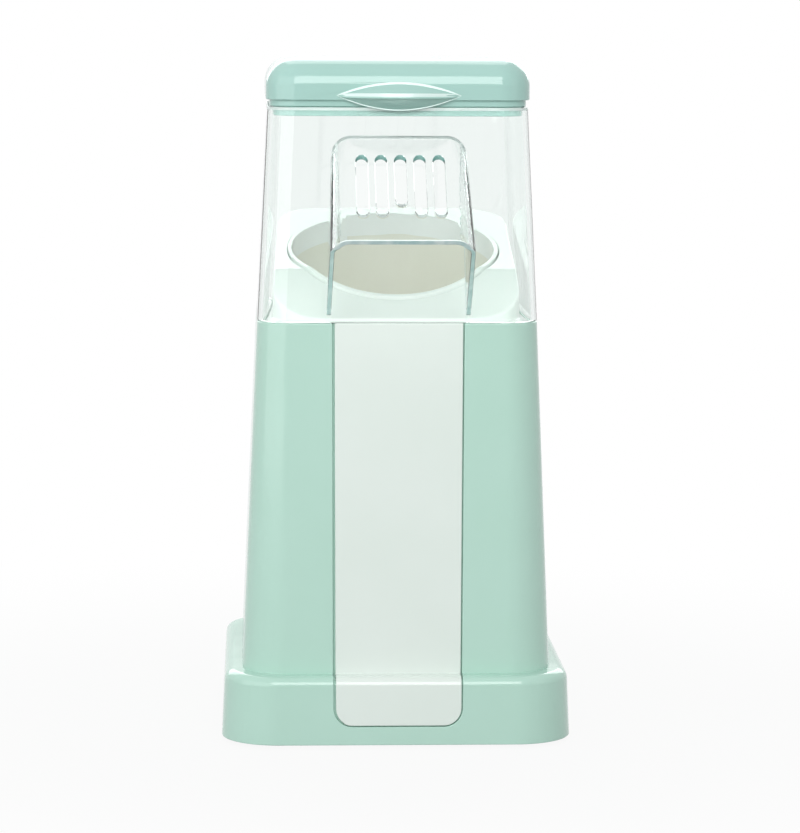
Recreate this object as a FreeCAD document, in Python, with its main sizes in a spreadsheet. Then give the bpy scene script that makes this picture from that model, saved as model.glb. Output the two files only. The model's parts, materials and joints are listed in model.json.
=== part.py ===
"""Hot-air popcorn maker, built as a parametric document.

Millimetres, +Z up, front towards -Y.  The origin lies on the table, under the
middle of the whole machine, chute included.
"""
import FreeCAD
import Part
import math
import os
import Sketcher
from FreeCAD import Vector
from types import SimpleNamespace

# Driving dimensions, in millimetres unless the name says otherwise.
SIZES = {
    # base: a wide drafted plinth on four feet
    "base_width": 160.0,
    "base_depth": 168.0,
    "base_top": 33.0,
    "base_corner": 26.0,
    "base_draft": 1.5,
    "base_edge": 4.5,
    "base_wall": 3.2,
    "foot_height": 2.0,
    "foot_radius": 7.0,
    "foot_inset": 19.0,
    "foot_recess": 1.4,
    "plate_thickness": 3.0,
    "opening_inset": 9.5,
    # body: a tapered column
    "body_height": 159.5,
    "body_width_low": 141.2,
    "ledge_depth": 10.0,
    "body_corner_low": 20.0,
    "body_width_top": 127.6,
    "body_taper_depth": 12.0,
    "body_corner_top": 15.0,
    "body_wall": 3.2,
    "rebate_lip": 2.2,
    "rebate_depth": 5.0,
    # front panel: a strip let into the body, the ledge and the base
    "panel_width_top": 58.7,
    "panel_width_low": 57.4,
    "panel_rise": 8.8,
    "panel_corner": 8.0,
    "panel_thickness": 1.8,
    "panel_gap": 0.5,
    "panel_bed": 0.1,
    # clear cover, chute hood and lid
    "cover_height": 96.9,
    "cover_taper_width": 9.4,
    "cover_taper_depth": 10.0,
    "cover_corner_top": 14.0,
    "cover_wall": 2.2,
    "lift_gap": 0.3,
    "chute_reach": 27.0,
    "hood_below_rim": 11.8,
    "lip_above_body": 40.4,
    "hood_lip_drop": 4.0,
    "hood_foot": 3.5,
    "hood_width_top": 60.8,
    "hood_width_lip": 64.0,
    "hood_width_low": 65.2,
    "hood_corner": 9.0,
    "hood_wall": 2.0,
    "hood_roof": 2.0,
    "slot_width": 5.3,
    "slot_pitch": 8.62,
    "slot_start": 12.6,
    "slot_run": 21.4,
    "slot_run_middle": 16.6,
    "lid_rise": 21.4,
    "lid_stand": 3.2,
    "lid_overhang": 0.75,
    "neck_inset": 0.9,
    "lid_edge": 12.0,
    "lid_wall": 2.6,
    "plug_depth": 4.0,
    "plug_gap": 0.5,
    "plug_wall": 2.0,
    "grip_width": 56.0,
    "grip_reach": 8.0,
    "grip_above": 7.7,
    "grip_crest": 2.1,
    "grip_below": 4.3,
    "grip_edge": 0.6,
    # deck and the mouth of the popping chamber
    "deck_inset": 6.5,
    "deck_corner": 23.0,
    "deck_step": 1.6,
    "deck_rise": 43.0,
    "apron_run": 35.1,
    "apron_rise": 19.8,
    "deck_fold": 10.0,
    "deck_wall": 2.2,
    "fit_gap": 0.25,
    "chamber_shift": 2.1,
    "mouth_radius": 47.6,
    "mouth_flare": 14.0,
    "mouth_bead": 0.8,
    "mouth_wall": 2.0,
    # popping chamber, heater and duct
    "chamber_radius": 43.5,
    "chamber_sheet": 1.0,
    "chamber_depth": 76.0,
    "chamber_sink": 13.0,
    "chamber_dish": 10.0,
    "dish_inner": 26.0,
    "dish_outer": 35.0,
    "dome_rise": 7.0,
    "chamber_flange": 51.0,
    "louvre_width": 2.6,
    "louvre_length": 13.0,
    "louvre_lean": 6.0,
    "louvre_rise": 19.0,
    "gasket_thickness": 2.0,
    "duct_radius": 49.0,
    "duct_sheet": 1.0,
    "duct_flange": 55.0,
    "liner_sheet": 0.8,
    "liner_height": 36.0,
    "former_sheet": 1.2,
    "former_height": 18.0,
    "coil_radius": 14.0,
    "coil_step": 4.0,
    "coil_wire": 1.6,
    "thermostat_radius": 7.0,
    "thermostat_length": 11.0,
    "thermostat_rise": 14.0,
    "saddle_gap": 0.1,
    "fuse_radius": 2.0,
    "fuse_length": 12.0,
    # fan and motor
    "fan_clear": 8.0,
    "fan_floor_sheet": 2.5,
    "fan_wall": 3.0,
    "fan_height": 24.0,
    "fan_flange_height": 4.0,
    "intake_radius": 5.0,
    "intake_circle": 23.0,
    "post_radius": 4.0,
    "post_circle": 40.0,
    "fan_radius": 42.0,
    "fan_disc": 1.4,
    "fan_blade": 1.4,
    "fan_blade_height": 10.6,
    "fan_blade_sweep": 14.0,
    "fan_blade_root": 12.0,
    "fan_rim": 3.0,
    "fan_hub": 6.0,
    "fan_lift": 2.5,
    "shaft_radius": 1.5,
    "shaft_over": 1.5,
    "shaft_fit": 0.04,
    "nut_radius": 3.5,
    "nut_height": 2.8,
    "motor_radius": 13.5,
    "motor_length": 25.0,
    "motor_bore": 2.3,
    "motor_edge": 1.5,
    "bush_radius": 4.0,
    "bush_length": 4.0,
    "board_radius": 12.0,
    "board_thickness": 1.6,
    "grille_inner": 14.0,
    "grille_outer": 35.0,
    "grille_slot": 3.2,
    # screws and their bosses
    "boss_radius": 4.5,
    "boss_bite": 0.5,
    "boss_height": 16.0,
    "boss_inset": 29.0,
    "base_boss_inset": 28.0,
    "base_boss_gap": 1.5,
    "screw_radius": 1.4,
    "screw_clearance": 0.2,
    "screw_head": 2.7,
    "screw_head_height": 1.6,
    "screw_length": 11.0,
    "motor_screw_circle": 9.0,
    "motor_screw_length": 6.0,
    # electrical pieces at the rear
    "block_width": 30.0,
    "block_depth": 12.0,
    "block_height": 13.0,
    "block_hole": 2.2,
    "block_pitch": 9.0,
    "block_corner": 1.5,
    "block_place": 4.0,
    "switch_place": -38.0,
    "switch_rise": 26.0,
    "switch_width": 16.8,
    "switch_corner": 1.0,
    "switch_length": 22.0,
    "switch_depth": 15.0,
    "bezel_rim": 2.0,
    "bezel_thickness": 1.5,
    "bezel_corner": 2.0,
    "well_width": 13.4,
    "well_length": 18.8,
    "well_depth": 9.0,
    "well_corner": 0.8,
    "rocker_pivot": 3.0,
    "rocker_width": 12.6,
    "rocker_half": 8.2,
    "rocker_end": 5.5,
    "rocker_dip": 3.8,
    "rocker_root": 5.0,
    "rocker_root_drop": 1.5,
    "rocker_edge": 0.6,
    "rocker_pin": 1.2,
    "rocker_pin_reach": 1.4,
    "rocker_tilt_deg": 9.0,
    "gland_place": 38.0,
    "gland_rise": 13.0,
    "gland_flange": 6.5,
    "gland_neck": 4.6,
    "gland_bore": 3.4,
    "gland_lip": 1.6,
    "gland_sink": 2.4,
}

FAN_BLADES = 14
GRILLE_SLOTS = 16
INTAKE_HOLES = 8
LOUVRES = 16
COIL_HALF_TURNS = 8
SIGNS = ((-1, -1), (1, -1), (1, 1), (-1, 1))
PLANES = {"XY": ("XY_Plane", 1), "XZ": ("XZ_Plane", -1), "YZ": ("YZ_Plane", 1)}


class Size:
    """A length together with the sheet formula that gives it."""

    def __init__(self, text, value):
        self.text = text
        self.value = value

    def __add__(self, other):
        other = as_size(other)
        return Size(f"({self.text} + {other.text})", self.value + other.value)

    def __radd__(self, other):
        return as_size(other) + self

    def __sub__(self, other):
        other = as_size(other)
        return Size(f"({self.text} - {other.text})", self.value - other.value)

    def __rsub__(self, other):
        return as_size(other) - self

    def __mul__(self, other):
        other = as_size(other)
        return Size(f"({self.text} * {other.text})", self.value * other.value)

    def __rmul__(self, other):
        return as_size(other) * self

    def __truediv__(self, other):
        other = as_size(other)
        return Size(f"({self.text} / {other.text})", self.value / other.value)

    def __neg__(self):
        return Size(f"(-{self.text})", -self.value)


def as_size(number):
    """A plain number as a Size; a Size as it is."""
    if isinstance(number, Size):
        return number
    return Size(f"({float(number)!r})", float(number))


def angle_of(rise, run):
    """The slope of rise over run, in degrees."""
    return Size(f"atan({rise.text} / {run.text})", math.degrees(math.atan2(rise.value, run.value)))


def spread_of(half_chord, radius):
    """The angle that a chord takes up in its circle, in degrees."""
    angle = 2 * math.degrees(math.asin(half_chord.value / radius.value))
    return Size(f"(2 * asin({half_chord.text} / {radius.text}))", angle)


def degrees(number):
    """A plain number as an angle."""
    return Size(f"({number.text} * 1 deg)", number.value)


def cos_of(angle):
    """The cosine of an angle."""
    return Size(f"cos({angle.text})", math.cos(math.radians(angle.value)))


def sin_of(angle):
    """The sine of an angle."""
    return Size(f"sin({angle.text})", math.sin(math.radians(angle.value)))


doc = FreeCAD.newDocument("popcorn_maker")
sheet = doc.addObject("Spreadsheet::Sheet", "sheet")
for row, (alias, number) in enumerate(SIZES.items(), start=1):
    sheet.set(f"A{row}", alias)
    sheet.set(f"B{row}", str(number))
    sheet.setAlias(f"B{row}", alias)
doc.recompute()
s = SimpleNamespace(**{alias: Size(f"sheet.{alias}", float(number)) for alias, number in SIZES.items()})
ZERO = as_size(0)
nodes = []


# Places that several pieces share.
middle_y = s.chute_reach / 2
base_front = middle_y - s.base_depth / 2
base_back = middle_y + s.base_depth / 2
chute_front = base_front - s.chute_reach
plate_top = s.foot_height + s.plate_thickness
body_top = s.base_top + s.body_height
body_depth_low = s.base_depth - s.ledge_depth * 2
body_depth_top = body_depth_low - s.body_taper_depth
panel_low = s.foot_height + s.panel_rise
cover_low = body_top + s.lift_gap
cover_width_top = s.body_width_top - s.cover_taper_width
cover_depth_top = body_depth_top - s.cover_taper_depth
cover_front_low = middle_y - body_depth_top / 2
cover_front_top = middle_y - cover_depth_top / 2
rim_top = body_top + s.cover_height
hood_top = rim_top - s.hood_below_rim
hood_lip = body_top + s.lip_above_body
lid_low = rim_top + s.lid_stand
lid_width = cover_width_top + s.lid_overhang * 2
lid_depth = cover_depth_top + s.lid_overhang * 2
lid_front = middle_y - lid_depth / 2
deck_width = s.body_width_top - s.deck_inset * 2
deck_depth = body_depth_top - s.deck_inset * 2
deck_front_y = middle_y - deck_depth / 2
deck_front = body_top + s.deck_step
apron_slope = s.apron_rise / s.apron_run
deck_slope = (s.deck_rise - s.apron_rise) / (deck_depth - s.apron_run)
chamber_y = middle_y + s.chamber_shift
chamber_top = body_top - s.chamber_sink
chamber_floor = chamber_top - s.chamber_depth
fan_floor = s.base_top + s.fan_clear
fan_floor_top = fan_floor + s.fan_floor_sheet
duct_low = fan_floor + s.fan_height
motor_low = fan_floor - s.motor_length
fan_low = fan_floor_top + s.fan_lift
fan_top = fan_low + s.fan_disc + s.fan_blade_height
nut_low = fan_top + s.fit_gap
shaft_top = nut_low + s.nut_height + s.shaft_over
boss_x = s.body_width_low / 2 - s.body_wall - s.boss_radius + s.boss_bite
boss_y = body_depth_low / 2 - s.boss_inset
base_boss_x = s.base_width / 2 - s.base_wall - s.boss_radius - s.base_boss_gap
base_boss_y = s.base_depth / 2 - s.base_boss_inset
switch_z = s.base_top + s.switch_rise
gland_z = s.foot_height + s.gland_rise
gland_seat = base_back - s.gland_sink
body_lean = angle_of((body_depth_low - body_depth_top) / 2, s.body_height)
base_lean = angle_of(s.base_draft, s.base_top - s.foot_height)


def new_body(label):
    """An empty body with its label."""
    body = doc.addObject("PartDesign::Body", label)
    body.Label = label
    return body


def sketch(body, view, along=ZERO, at=(ZERO, ZERO)):
    """A sketch on one of the body's origin planes, moved along its axis and to a point of its plane."""
    role, sense = PLANES[view]
    plane = [feature for feature in body.Origin.OriginFeatures if feature.Role == role][0]
    drawing = body.newObject("Sketcher::SketchObject", f"{body.Label}_{view}_sketch")
    drawing.AttachmentSupport = [(plane, "")]
    drawing.MapMode = "FlatFace"
    for axis, shift in zip("xyz", (at[0], at[1], along * sense)):
        drawing.setExpression(f"AttachmentOffset.Base.{axis}", shift.text)
    return drawing


def bind(drawing, kind, *places, size):
    """Add one dimension to a sketch and tie it to its formula."""
    index = drawing.addConstraint(Sketcher.Constraint(kind, *places, size.value))
    drawing.renameConstraint(index, f"size_{index}")
    drawing.setExpression(f"Constraints.size_{index}", size.text)


def pin(drawing, piece, end, x, y):
    """Tie one point of a sketch to its place."""
    bind(drawing, "DistanceX", -1, 1, piece, end, size=as_size(x))
    bind(drawing, "DistanceY", -1, 1, piece, end, size=as_size(y))


def circle(drawing, x, y, radius):
    """Draw a circle."""
    x, y, radius = as_size(x), as_size(y), as_size(radius)
    index = drawing.addGeometry(Part.Circle(Vector(x.value, y.value, 0), Vector(0, 0, 1), radius.value))
    pin(drawing, index, 3, x, y)
    bind(drawing, "Radius", index, size=radius)


def outline(drawing, corners):
    """Draw a closed outline through corners (x, y) or, for a rounded one, (x, y, radius)."""
    places = [(as_size(corner[0]), as_size(corner[1])) for corner in corners]
    radii = [as_size(corner[2]) if len(corner) > 2 else None for corner in corners]
    points = [Vector(x.value, y.value, 0) for x, y in places]
    count = len(points)
    starts, ends, arcs = list(points), list(points), {}
    for index, radius in enumerate(radii):
        if radius is None:
            continue
        to_last = (points[index - 1] - points[index]).normalize()
        to_next = (points[(index + 1) % count] - points[index]).normalize()
        half = to_last.getAngle(to_next) / 2
        ends[index] = points[index] + to_last * (radius.value / math.tan(half))
        starts[index] = points[index] + to_next * (radius.value / math.tan(half))
        centre = points[index] + (to_last + to_next).normalize() * (radius.value / math.sin(half))
        arcs[index] = (centre, to_last.cross(to_next).z < 0)
    lines = []
    for index in range(count):
        lines.append(drawing.addGeometry(Part.LineSegment(starts[index], ends[(index + 1) % count])))
    for index in range(count):
        line_in, line_out = lines[index - 1], lines[index]
        x, y = places[index]
        if radii[index] is None:
            drawing.addConstraint(Sketcher.Constraint("Coincident", line_in, 2, line_out, 1))
            pin(drawing, line_out, 1, x, y)
            continue
        centre, leftward = arcs[index]
        from_point, to_point = ends[index] - centre, starts[index] - centre
        first = math.atan2(from_point.y, from_point.x)
        last = math.atan2(to_point.y, to_point.x)
        if not leftward:
            first, last = last, first
        round_edge = Part.Circle(centre, Vector(0, 0, 1), radii[index].value)
        arc = drawing.addGeometry(Part.ArcOfCircle(round_edge, first, last))
        corner = drawing.addGeometry(Part.Point(points[index]), True)
        pin(drawing, corner, 1, x, y)
        drawing.addConstraint(Sketcher.Constraint("Tangent", line_in, 2, arc, 1 if leftward else 2))
        drawing.addConstraint(Sketcher.Constraint("Tangent", line_out, 1, arc, 2 if leftward else 1))
        drawing.addConstraint(Sketcher.Constraint("PointOnObject", corner, 1, line_in))
        drawing.addConstraint(Sketcher.Constraint("PointOnObject", corner, 1, line_out))
        bind(drawing, "Radius", arc, size=radii[index])


def rounded(drawing, width, depth, radius, x=ZERO, y=ZERO):
    """Draw a rectangle with four equal round corners about its centre."""
    outline(drawing, [(x + width / 2 * a, y + depth / 2 * b, radius) for a, b in SIGNS])


def slot(drawing, x, y_low, y_high, width):
    """Draw a straight slot with round ends, lengthwise along the sketch's second axis."""
    x, y_low, y_high, radius = as_size(x), as_size(y_low), as_size(y_high), as_size(width) / 2
    half, low, high = radius.value, y_low.value, y_high.value
    left, right = x.value - half, x.value + half
    top = Part.Circle(Vector(x.value, high, 0), Vector(0, 0, 1), half)
    foot = Part.Circle(Vector(x.value, low, 0), Vector(0, 0, 1), half)
    arc_top = drawing.addGeometry(Part.ArcOfCircle(top, 0, math.pi))
    side_left = drawing.addGeometry(Part.LineSegment(Vector(left, high, 0), Vector(left, low, 0)))
    arc_foot = drawing.addGeometry(Part.ArcOfCircle(foot, math.pi, 2 * math.pi))
    side_right = drawing.addGeometry(Part.LineSegment(Vector(right, low, 0), Vector(right, high, 0)))
    run = (arc_top, side_left, arc_foot, side_right)
    for before, after in zip(run, run[1:] + run[:1]):
        drawing.addConstraint(Sketcher.Constraint("Tangent", before, 2, after, 1))
    pin(drawing, arc_top, 3, x, y_high)
    pin(drawing, arc_foot, 3, x, y_low)
    bind(drawing, "Radius", arc_top, size=radius)


def feature(body, kind, **settings):
    """Add a feature to a body, with sizes bound to their formulas and the rest set as given."""
    item = body.newObject(f"PartDesign::{kind}", f"{body.Label}_{kind}")
    for name, value in settings.items():
        if isinstance(value, Size):
            item.setExpression(name, value.text)
        else:
            setattr(item, name, value)
    return item


def pad(body, drawing, length, **settings):
    """Raise a sketch by a length."""
    return feature(body, "Pad", Profile=drawing, Length=length, **settings)


def pocket(body, drawing, length, **settings):
    """Sink a sketch by a length and make sure that it takes material away."""
    doc.recompute()
    before = body.Shape.Volume
    item = feature(body, "Pocket", Profile=drawing, Length=length, **settings)
    doc.recompute()
    if body.Shape.Volume > before - 1e-6:
        raise RuntimeError(f"{item.Label} cuts nothing")
    return item


def loft(body, first, last, kind="AdditiveLoft"):
    """Join two sketches by a loft."""
    return feature(body, kind, Profile=first, Sections=[last], Ruled=True)


def turn(body, drawing, axis="V_Axis", kind="Revolution", angle=360.0, **settings):
    """Turn a sketch about one of its own axes."""
    return feature(body, kind, Profile=drawing, ReferenceAxis=(drawing, [axis]), Angle=angle, **settings)


def round_edges(body, at_height, radius):
    """Round every edge of the body that lies level at a height."""
    doc.recompute()
    tip = body.Tip
    level = [
        f"Edge{index}"
        for index, edge in enumerate(tip.Shape.Edges, start=1)
        if all(abs(vertex.Point.z - at_height.value) < 1e-4 for vertex in edge.Vertexes)
    ]
    return feature(body, "Fillet", Base=(tip, level), Radius=radius)


def repeat(body, item, drawing, axis, count):
    """Repeat a feature round an axis of a sketch."""
    pattern = feature(body, "PolarPattern", Originals=[item], Axis=(drawing, [axis]), Angle=360.0)
    pattern.Occurrences = count
    body.Tip = pattern
    return pattern


def place(item, x=ZERO, y=ZERO, z=ZERO, lean=None):
    """Put an object at a point, leaned about the X axis."""
    if lean is not None:
        item.Placement = FreeCAD.Placement(Vector(0, 0, 0), FreeCAD.Rotation(Vector(1, 0, 0), lean.value))
        item.setExpression("Placement.Rotation.Angle", lean.text)
    for axis, shift in zip("xyz", (x, y, z)):
        item.setExpression(f"Placement.Base.{axis}", as_size(shift).text)


def cylinder(label, radius, z_low, z_high, x=ZERO, y=ZERO):
    """An upright cylinder between two heights."""
    item = doc.addObject("Part::Cylinder", label)
    item.Label = label
    item.setExpression("Radius", radius.text)
    item.setExpression("Height", (z_high - z_low).text)
    place(item, x, y, z_low)
    return item


def cut(label, base, tool):
    """One object less another."""
    item = doc.addObject("Part::Cut", label)
    item.Label = label
    item.Base = base
    item.Tool = tool
    return item


def fuse(label, base, tool):
    """Two objects joined."""
    item = doc.addObject("Part::Fuse", label)
    item.Label = label
    item.Base = base
    item.Tool = tool
    return item


def group(label, items):
    """Separate solids that share one node."""
    item = doc.addObject("Part::Compound", label)
    item.Label = label
    item.Links = items
    return item


def ring(label, inner, outer, z_low, z_high, x=ZERO, y=ZERO):
    """An upright ring between two heights."""
    body = cylinder(f"{label}_outside", outer, z_low, z_high, x, y)
    bore = cylinder(f"{label}_bore", inner, z_low, z_high, x, y)
    return cut(label, body, bore)


def around_chamber(radius, count, start_deg=0.0):
    """Points spaced evenly round the chamber's axis."""
    for index in range(count):
        turned = math.radians(start_deg + 360.0 * index / count)
        yield radius * math.cos(turned), chamber_y + radius * math.sin(turned)


def chamber_sketch(body):
    """A sketch of radius against height, about the chamber's axis."""
    return sketch(body, "XZ", chamber_y)


def keep(item):
    """Count an object as a finished piece."""
    nodes.append(item)
    return item


def corners_of(x, y_half):
    """Four points mirrored about the middle of the base."""
    return [(x * a, middle_y + y_half * b) for a, b in SIGNS]


def panel_block(label, gap, sink, front, top):
    """The strip down the front: from the side it steps over the ledge, from ahead it flares upwards.

    With a gap, a sink and a far front it is the recess that the strip lies in.
    """
    body = new_body(label)
    low, high = panel_low - gap, top + s.panel_corner
    draft_low = s.base_draft * (low - s.foot_height) / (s.base_top - s.foot_height)
    inner = s.panel_thickness + sink
    ledge = s.base_top - inner
    lean = (body_depth_low - body_depth_top) / 2 / s.body_height
    body_low = middle_y - body_depth_low / 2
    base_high = base_front + s.base_draft
    side = sketch(body, "YZ")
    back = [
        (body_low + lean * (top - s.base_top) + inner, top),
        (body_low - lean * inner + inner, ledge),
        (base_high + inner, ledge, s.base_edge - inner),
        (base_front + draft_low + inner, low),
    ]
    if front is None:
        face = [
            (base_front + draft_low, low),
            (base_high, s.base_top, s.base_edge),
            (body_low, s.base_top),
            (body_low + lean * (top - s.base_top), top),
        ]
    else:
        face = [(front, low), (front, top)]
    outline(side, back + face)
    margin = s.panel_width_top + s.panel_corner
    pad(body, side, margin, SideType="Symmetric")
    ahead = sketch(body, "XZ")
    flare = (s.panel_width_top - s.panel_width_low) / 2 / (body_top - panel_low)
    half_low = s.panel_width_low / 2 + gap - flare * gap
    half_top = s.panel_width_top / 2 + gap + flare * (top - body_top)
    corner = s.panel_corner + gap
    outline(ahead, [(-half_low, low, corner), (half_low, low, corner), (half_top, top), (-half_top, top)])
    under = low - s.panel_corner
    outline(ahead, [(-margin, under), (margin, under), (margin, high), (-margin, high)])
    pocket(body, ahead, s.base_depth * 2, SideType="Symmetric")
    return body


def build_front_panel():
    """The white strip and, returned, the tool for its recess."""
    keep(panel_block("front_panel", ZERO, ZERO, None, body_top))
    beyond = body_top + s.panel_corner
    return panel_block("panel_recess", s.panel_gap, s.panel_bed, chute_front, beyond)


def build_base_plinth(recess):
    """The hollow base: drafted sides, a rounded top edge, screw bosses and the opening under the body."""
    body = new_body("base_plinth_blank")
    low = sketch(body, "XY", s.foot_height)
    rounded(low, s.base_width, s.base_depth, s.base_corner, y=middle_y)
    pad(body, low, s.base_top - s.foot_height, TaperAngle=-base_lean)
    round_edges(body, s.base_top, s.base_edge)
    narrower = s.base_draft * 2
    corner_high = s.base_corner - s.base_draft
    walls = s.base_wall * 2
    under = sketch(body, "XY", s.foot_height)
    rounded(under, s.base_width - walls, s.base_depth - walls, s.base_corner - s.base_wall, y=middle_y)
    ceiling = sketch(body, "XY", s.base_top - s.base_wall)
    width = s.base_width - walls - narrower
    depth = s.base_depth - walls - narrower
    rounded(ceiling, width, depth, corner_high - s.base_wall, y=middle_y)
    loft(body, under, ceiling, "SubtractiveLoft")
    hole = sketch(body, "XY", s.base_top)
    inset = (s.body_wall + s.opening_inset) * 2
    rounded(hole, s.body_width_low - inset, body_depth_low - inset, s.body_corner_low, y=middle_y)
    pocket(body, hole, s.base_wall * 2)
    bosses = sketch(body, "XY", plate_top)
    for x, y in corners_of(base_boss_x, base_boss_y):
        circle(bosses, x, y, s.boss_radius)
        circle(bosses, x, y, s.screw_radius + s.screw_clearance / 2)
    pad(body, bosses, s.base_top - s.base_wall / 2 - plate_top)
    holes = sketch(body, "XY", s.base_top)
    for x, y in corners_of(boss_x, boss_y):
        circle(holes, x, y, s.screw_radius + s.screw_clearance)
    pocket(body, holes, s.base_wall * 2)
    inlet = sketch(body, "XZ", middle_y)
    circle(inlet, s.gland_place, gland_z, s.gland_neck + s.fit_gap)
    pocket(body, inlet, s.base_depth)
    sink = sketch(body, "XZ", gland_seat)
    circle(sink, s.gland_place, gland_z, s.gland_flange + s.fit_gap)
    pocket(body, sink, s.base_wall * 2)
    keep(cut("base_plinth", body, recess))


def build_base_plate():
    """The underside: a plate with an intake grille, recesses for the feet and posts for the fan housing."""
    body = new_body("base_plate")
    plate = sketch(body, "XY", s.foot_height)
    inset = (s.base_wall + s.fit_gap) * 2
    corner = s.base_corner - s.base_wall - s.fit_gap
    draft = s.base_draft * s.plate_thickness / (s.base_top - s.foot_height) * 2
    rounded(plate, s.base_width - inset - draft, s.base_depth - inset - draft, corner, y=middle_y)
    pad(body, plate, s.plate_thickness)
    posts = sketch(body, "XY", s.foot_height)
    for x, y in around_chamber(s.post_circle, 4, 45.0):
        circle(posts, x, y, s.post_radius)
    pad(body, posts, fan_floor - s.foot_height)
    recesses = sketch(body, "XY", s.foot_height)
    for x, y in foot_places():
        circle(recesses, x, y, s.foot_radius + s.fit_gap)
    pocket(body, recesses, s.foot_recess, Reversed=True)
    holes = sketch(body, "XY", s.foot_height)
    for x, y in corners_of(base_boss_x, base_boss_y):
        circle(holes, x, y, s.screw_radius + s.screw_clearance)
    pocket(body, holes, s.plate_thickness * 2, Reversed=True)
    grille = sketch(body, "XY", s.foot_height, (ZERO, chamber_y))
    slot(grille, ZERO, s.grille_inner, s.grille_outer - s.grille_slot, s.grille_slot)
    opening = pocket(body, grille, s.plate_thickness * 2, Reversed=True)
    repeat(body, opening, grille, "N_Axis", GRILLE_SLOTS)
    keep(body)


def foot_places():
    """Where the four feet stand."""
    return corners_of(s.base_width / 2 - s.foot_inset, s.base_depth / 2 - s.foot_inset)


def build_rubber_feet():
    """Four feet in the recesses of the base plate."""
    top = s.foot_height + s.foot_recess
    feet = [
        cylinder(f"foot_{index}", s.foot_radius, ZERO, top, x, y)
        for index, (x, y) in enumerate(foot_places())
    ]
    keep(group("rubber_feet", feet))


def screw(label, x, y, seat, length, headward):
    """One screw: a head on its seat and a shank that runs the other way."""
    far = seat - length * headward
    head_end = seat + s.screw_head_height * headward
    shank_low, shank_high = (far, seat) if headward > 0 else (seat, far)
    head_low, head_high = (seat, head_end) if headward > 0 else (head_end, seat)
    shank = cylinder(f"{label}_shank", s.screw_radius, shank_low, shank_high, x, y)
    head = cylinder(f"{label}_head", s.screw_head, head_low, head_high, x, y)
    return fuse(label, shank, head)


def build_screws():
    """Screws that hold the plate to the base, the base to the body and the motor to the fan housing."""
    base = [
        screw(f"base_screw_{index}", x, y, s.foot_height, s.screw_length, -1)
        for index, (x, y) in enumerate(corners_of(base_boss_x, base_boss_y))
    ]
    keep(group("base_screws", base))
    seat = s.base_top - s.base_wall
    body = [
        screw(f"body_screw_{index}", x, y, seat, s.screw_length, -1)
        for index, (x, y) in enumerate(corners_of(boss_x, boss_y))
    ]
    keep(group("body_screws", body))
    motor = [
        screw(f"motor_screw_{index}", x, y, fan_floor_top, s.motor_screw_length, 1)
        for index, (x, y) in enumerate(around_chamber(s.motor_screw_circle, 2))
    ]
    keep(group("motor_screws", motor))


def build_body_shell(recess):
    """The tapered column: a lofted shell with a rebate for the deck, screw bosses and the switch hole."""
    body = new_body("body_shell_blank")
    for kind, wall in (("AdditiveLoft", ZERO), ("SubtractiveLoft", s.body_wall)):
        low = sketch(body, "XY", s.base_top)
        corner_low = s.body_corner_low - wall
        rounded(low, s.body_width_low - wall * 2, body_depth_low - wall * 2, corner_low, y=middle_y)
        high = sketch(body, "XY", body_top)
        corner_top = s.body_corner_top - wall
        rounded(high, s.body_width_top - wall * 2, body_depth_top - wall * 2, corner_top, y=middle_y)
        loft(body, low, high, kind)
    rebate = sketch(body, "XY", body_top)
    lip = s.rebate_lip * 2
    corner = s.body_corner_top - s.rebate_lip
    rounded(rebate, s.body_width_top - lip, body_depth_top - lip, corner, y=middle_y)
    pocket(body, rebate, s.rebate_depth)
    bosses = sketch(body, "XY", s.base_top)
    for x, y in corners_of(boss_x, boss_y):
        circle(bosses, x, y, s.boss_radius)
        circle(bosses, x, y, s.screw_radius + s.screw_clearance / 2)
    pad(body, bosses, s.boss_height)
    hole = sketch(body, "XZ", middle_y)
    half_width = s.switch_width / 2 + s.fit_gap
    half_length = s.switch_length / 2 + s.fit_gap
    outline(hole, [(s.switch_place + half_width * a, switch_z + half_length * b) for a, b in SIGNS])
    pocket(body, hole, s.base_depth)
    keep(cut("body_shell", body, recess))


def cut_to_slope(body, lift):
    """Cut a body off at a height above the deck: a steep apron at the front, then a gentler slope."""
    above = sketch(body, "YZ")
    far = deck_depth / 4
    low = deck_front + lift
    front, back = deck_front_y - far, deck_front_y + deck_depth + far
    sky = low + s.deck_rise * 2
    outline(above, [
        (front, low - apron_slope * far),
        (deck_front_y + s.apron_run, low + s.apron_rise, s.deck_fold),
        (back, low + s.deck_rise + deck_slope * far),
        (back, sky),
        (front, sky),
    ])
    pocket(body, above, deck_width * 2, SideType="Symmetric")


def deck_block(label, inset, drop):
    """A block with round corners under the deck's slope, smaller by an inset and lower by a drop."""
    body = new_body(label)
    low = body_top - s.rebate_depth
    plan = sketch(body, "XY", low)
    width = deck_width - inset * 2
    rounded(plan, width, deck_depth - inset * 2, s.deck_corner - inset, y=middle_y)
    pad(body, plan, deck_front + s.deck_rise - low)
    cut_to_slope(body, -drop)
    return body


def mouth_turn(body, grow, kind):
    """A turned form from the chamber's top, flared to the width of the mouth and straight above."""
    profile = chamber_sketch(body)
    low = chamber_top + s.gasket_thickness
    high = deck_front + s.deck_rise
    outline(profile, [
        (ZERO, low),
        (s.chamber_radius + grow, low),
        (s.mouth_radius + grow, low + s.mouth_flare),
        (s.mouth_radius + grow, high),
        (ZERO, high),
    ])
    turn(body, profile, kind=kind)


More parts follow.
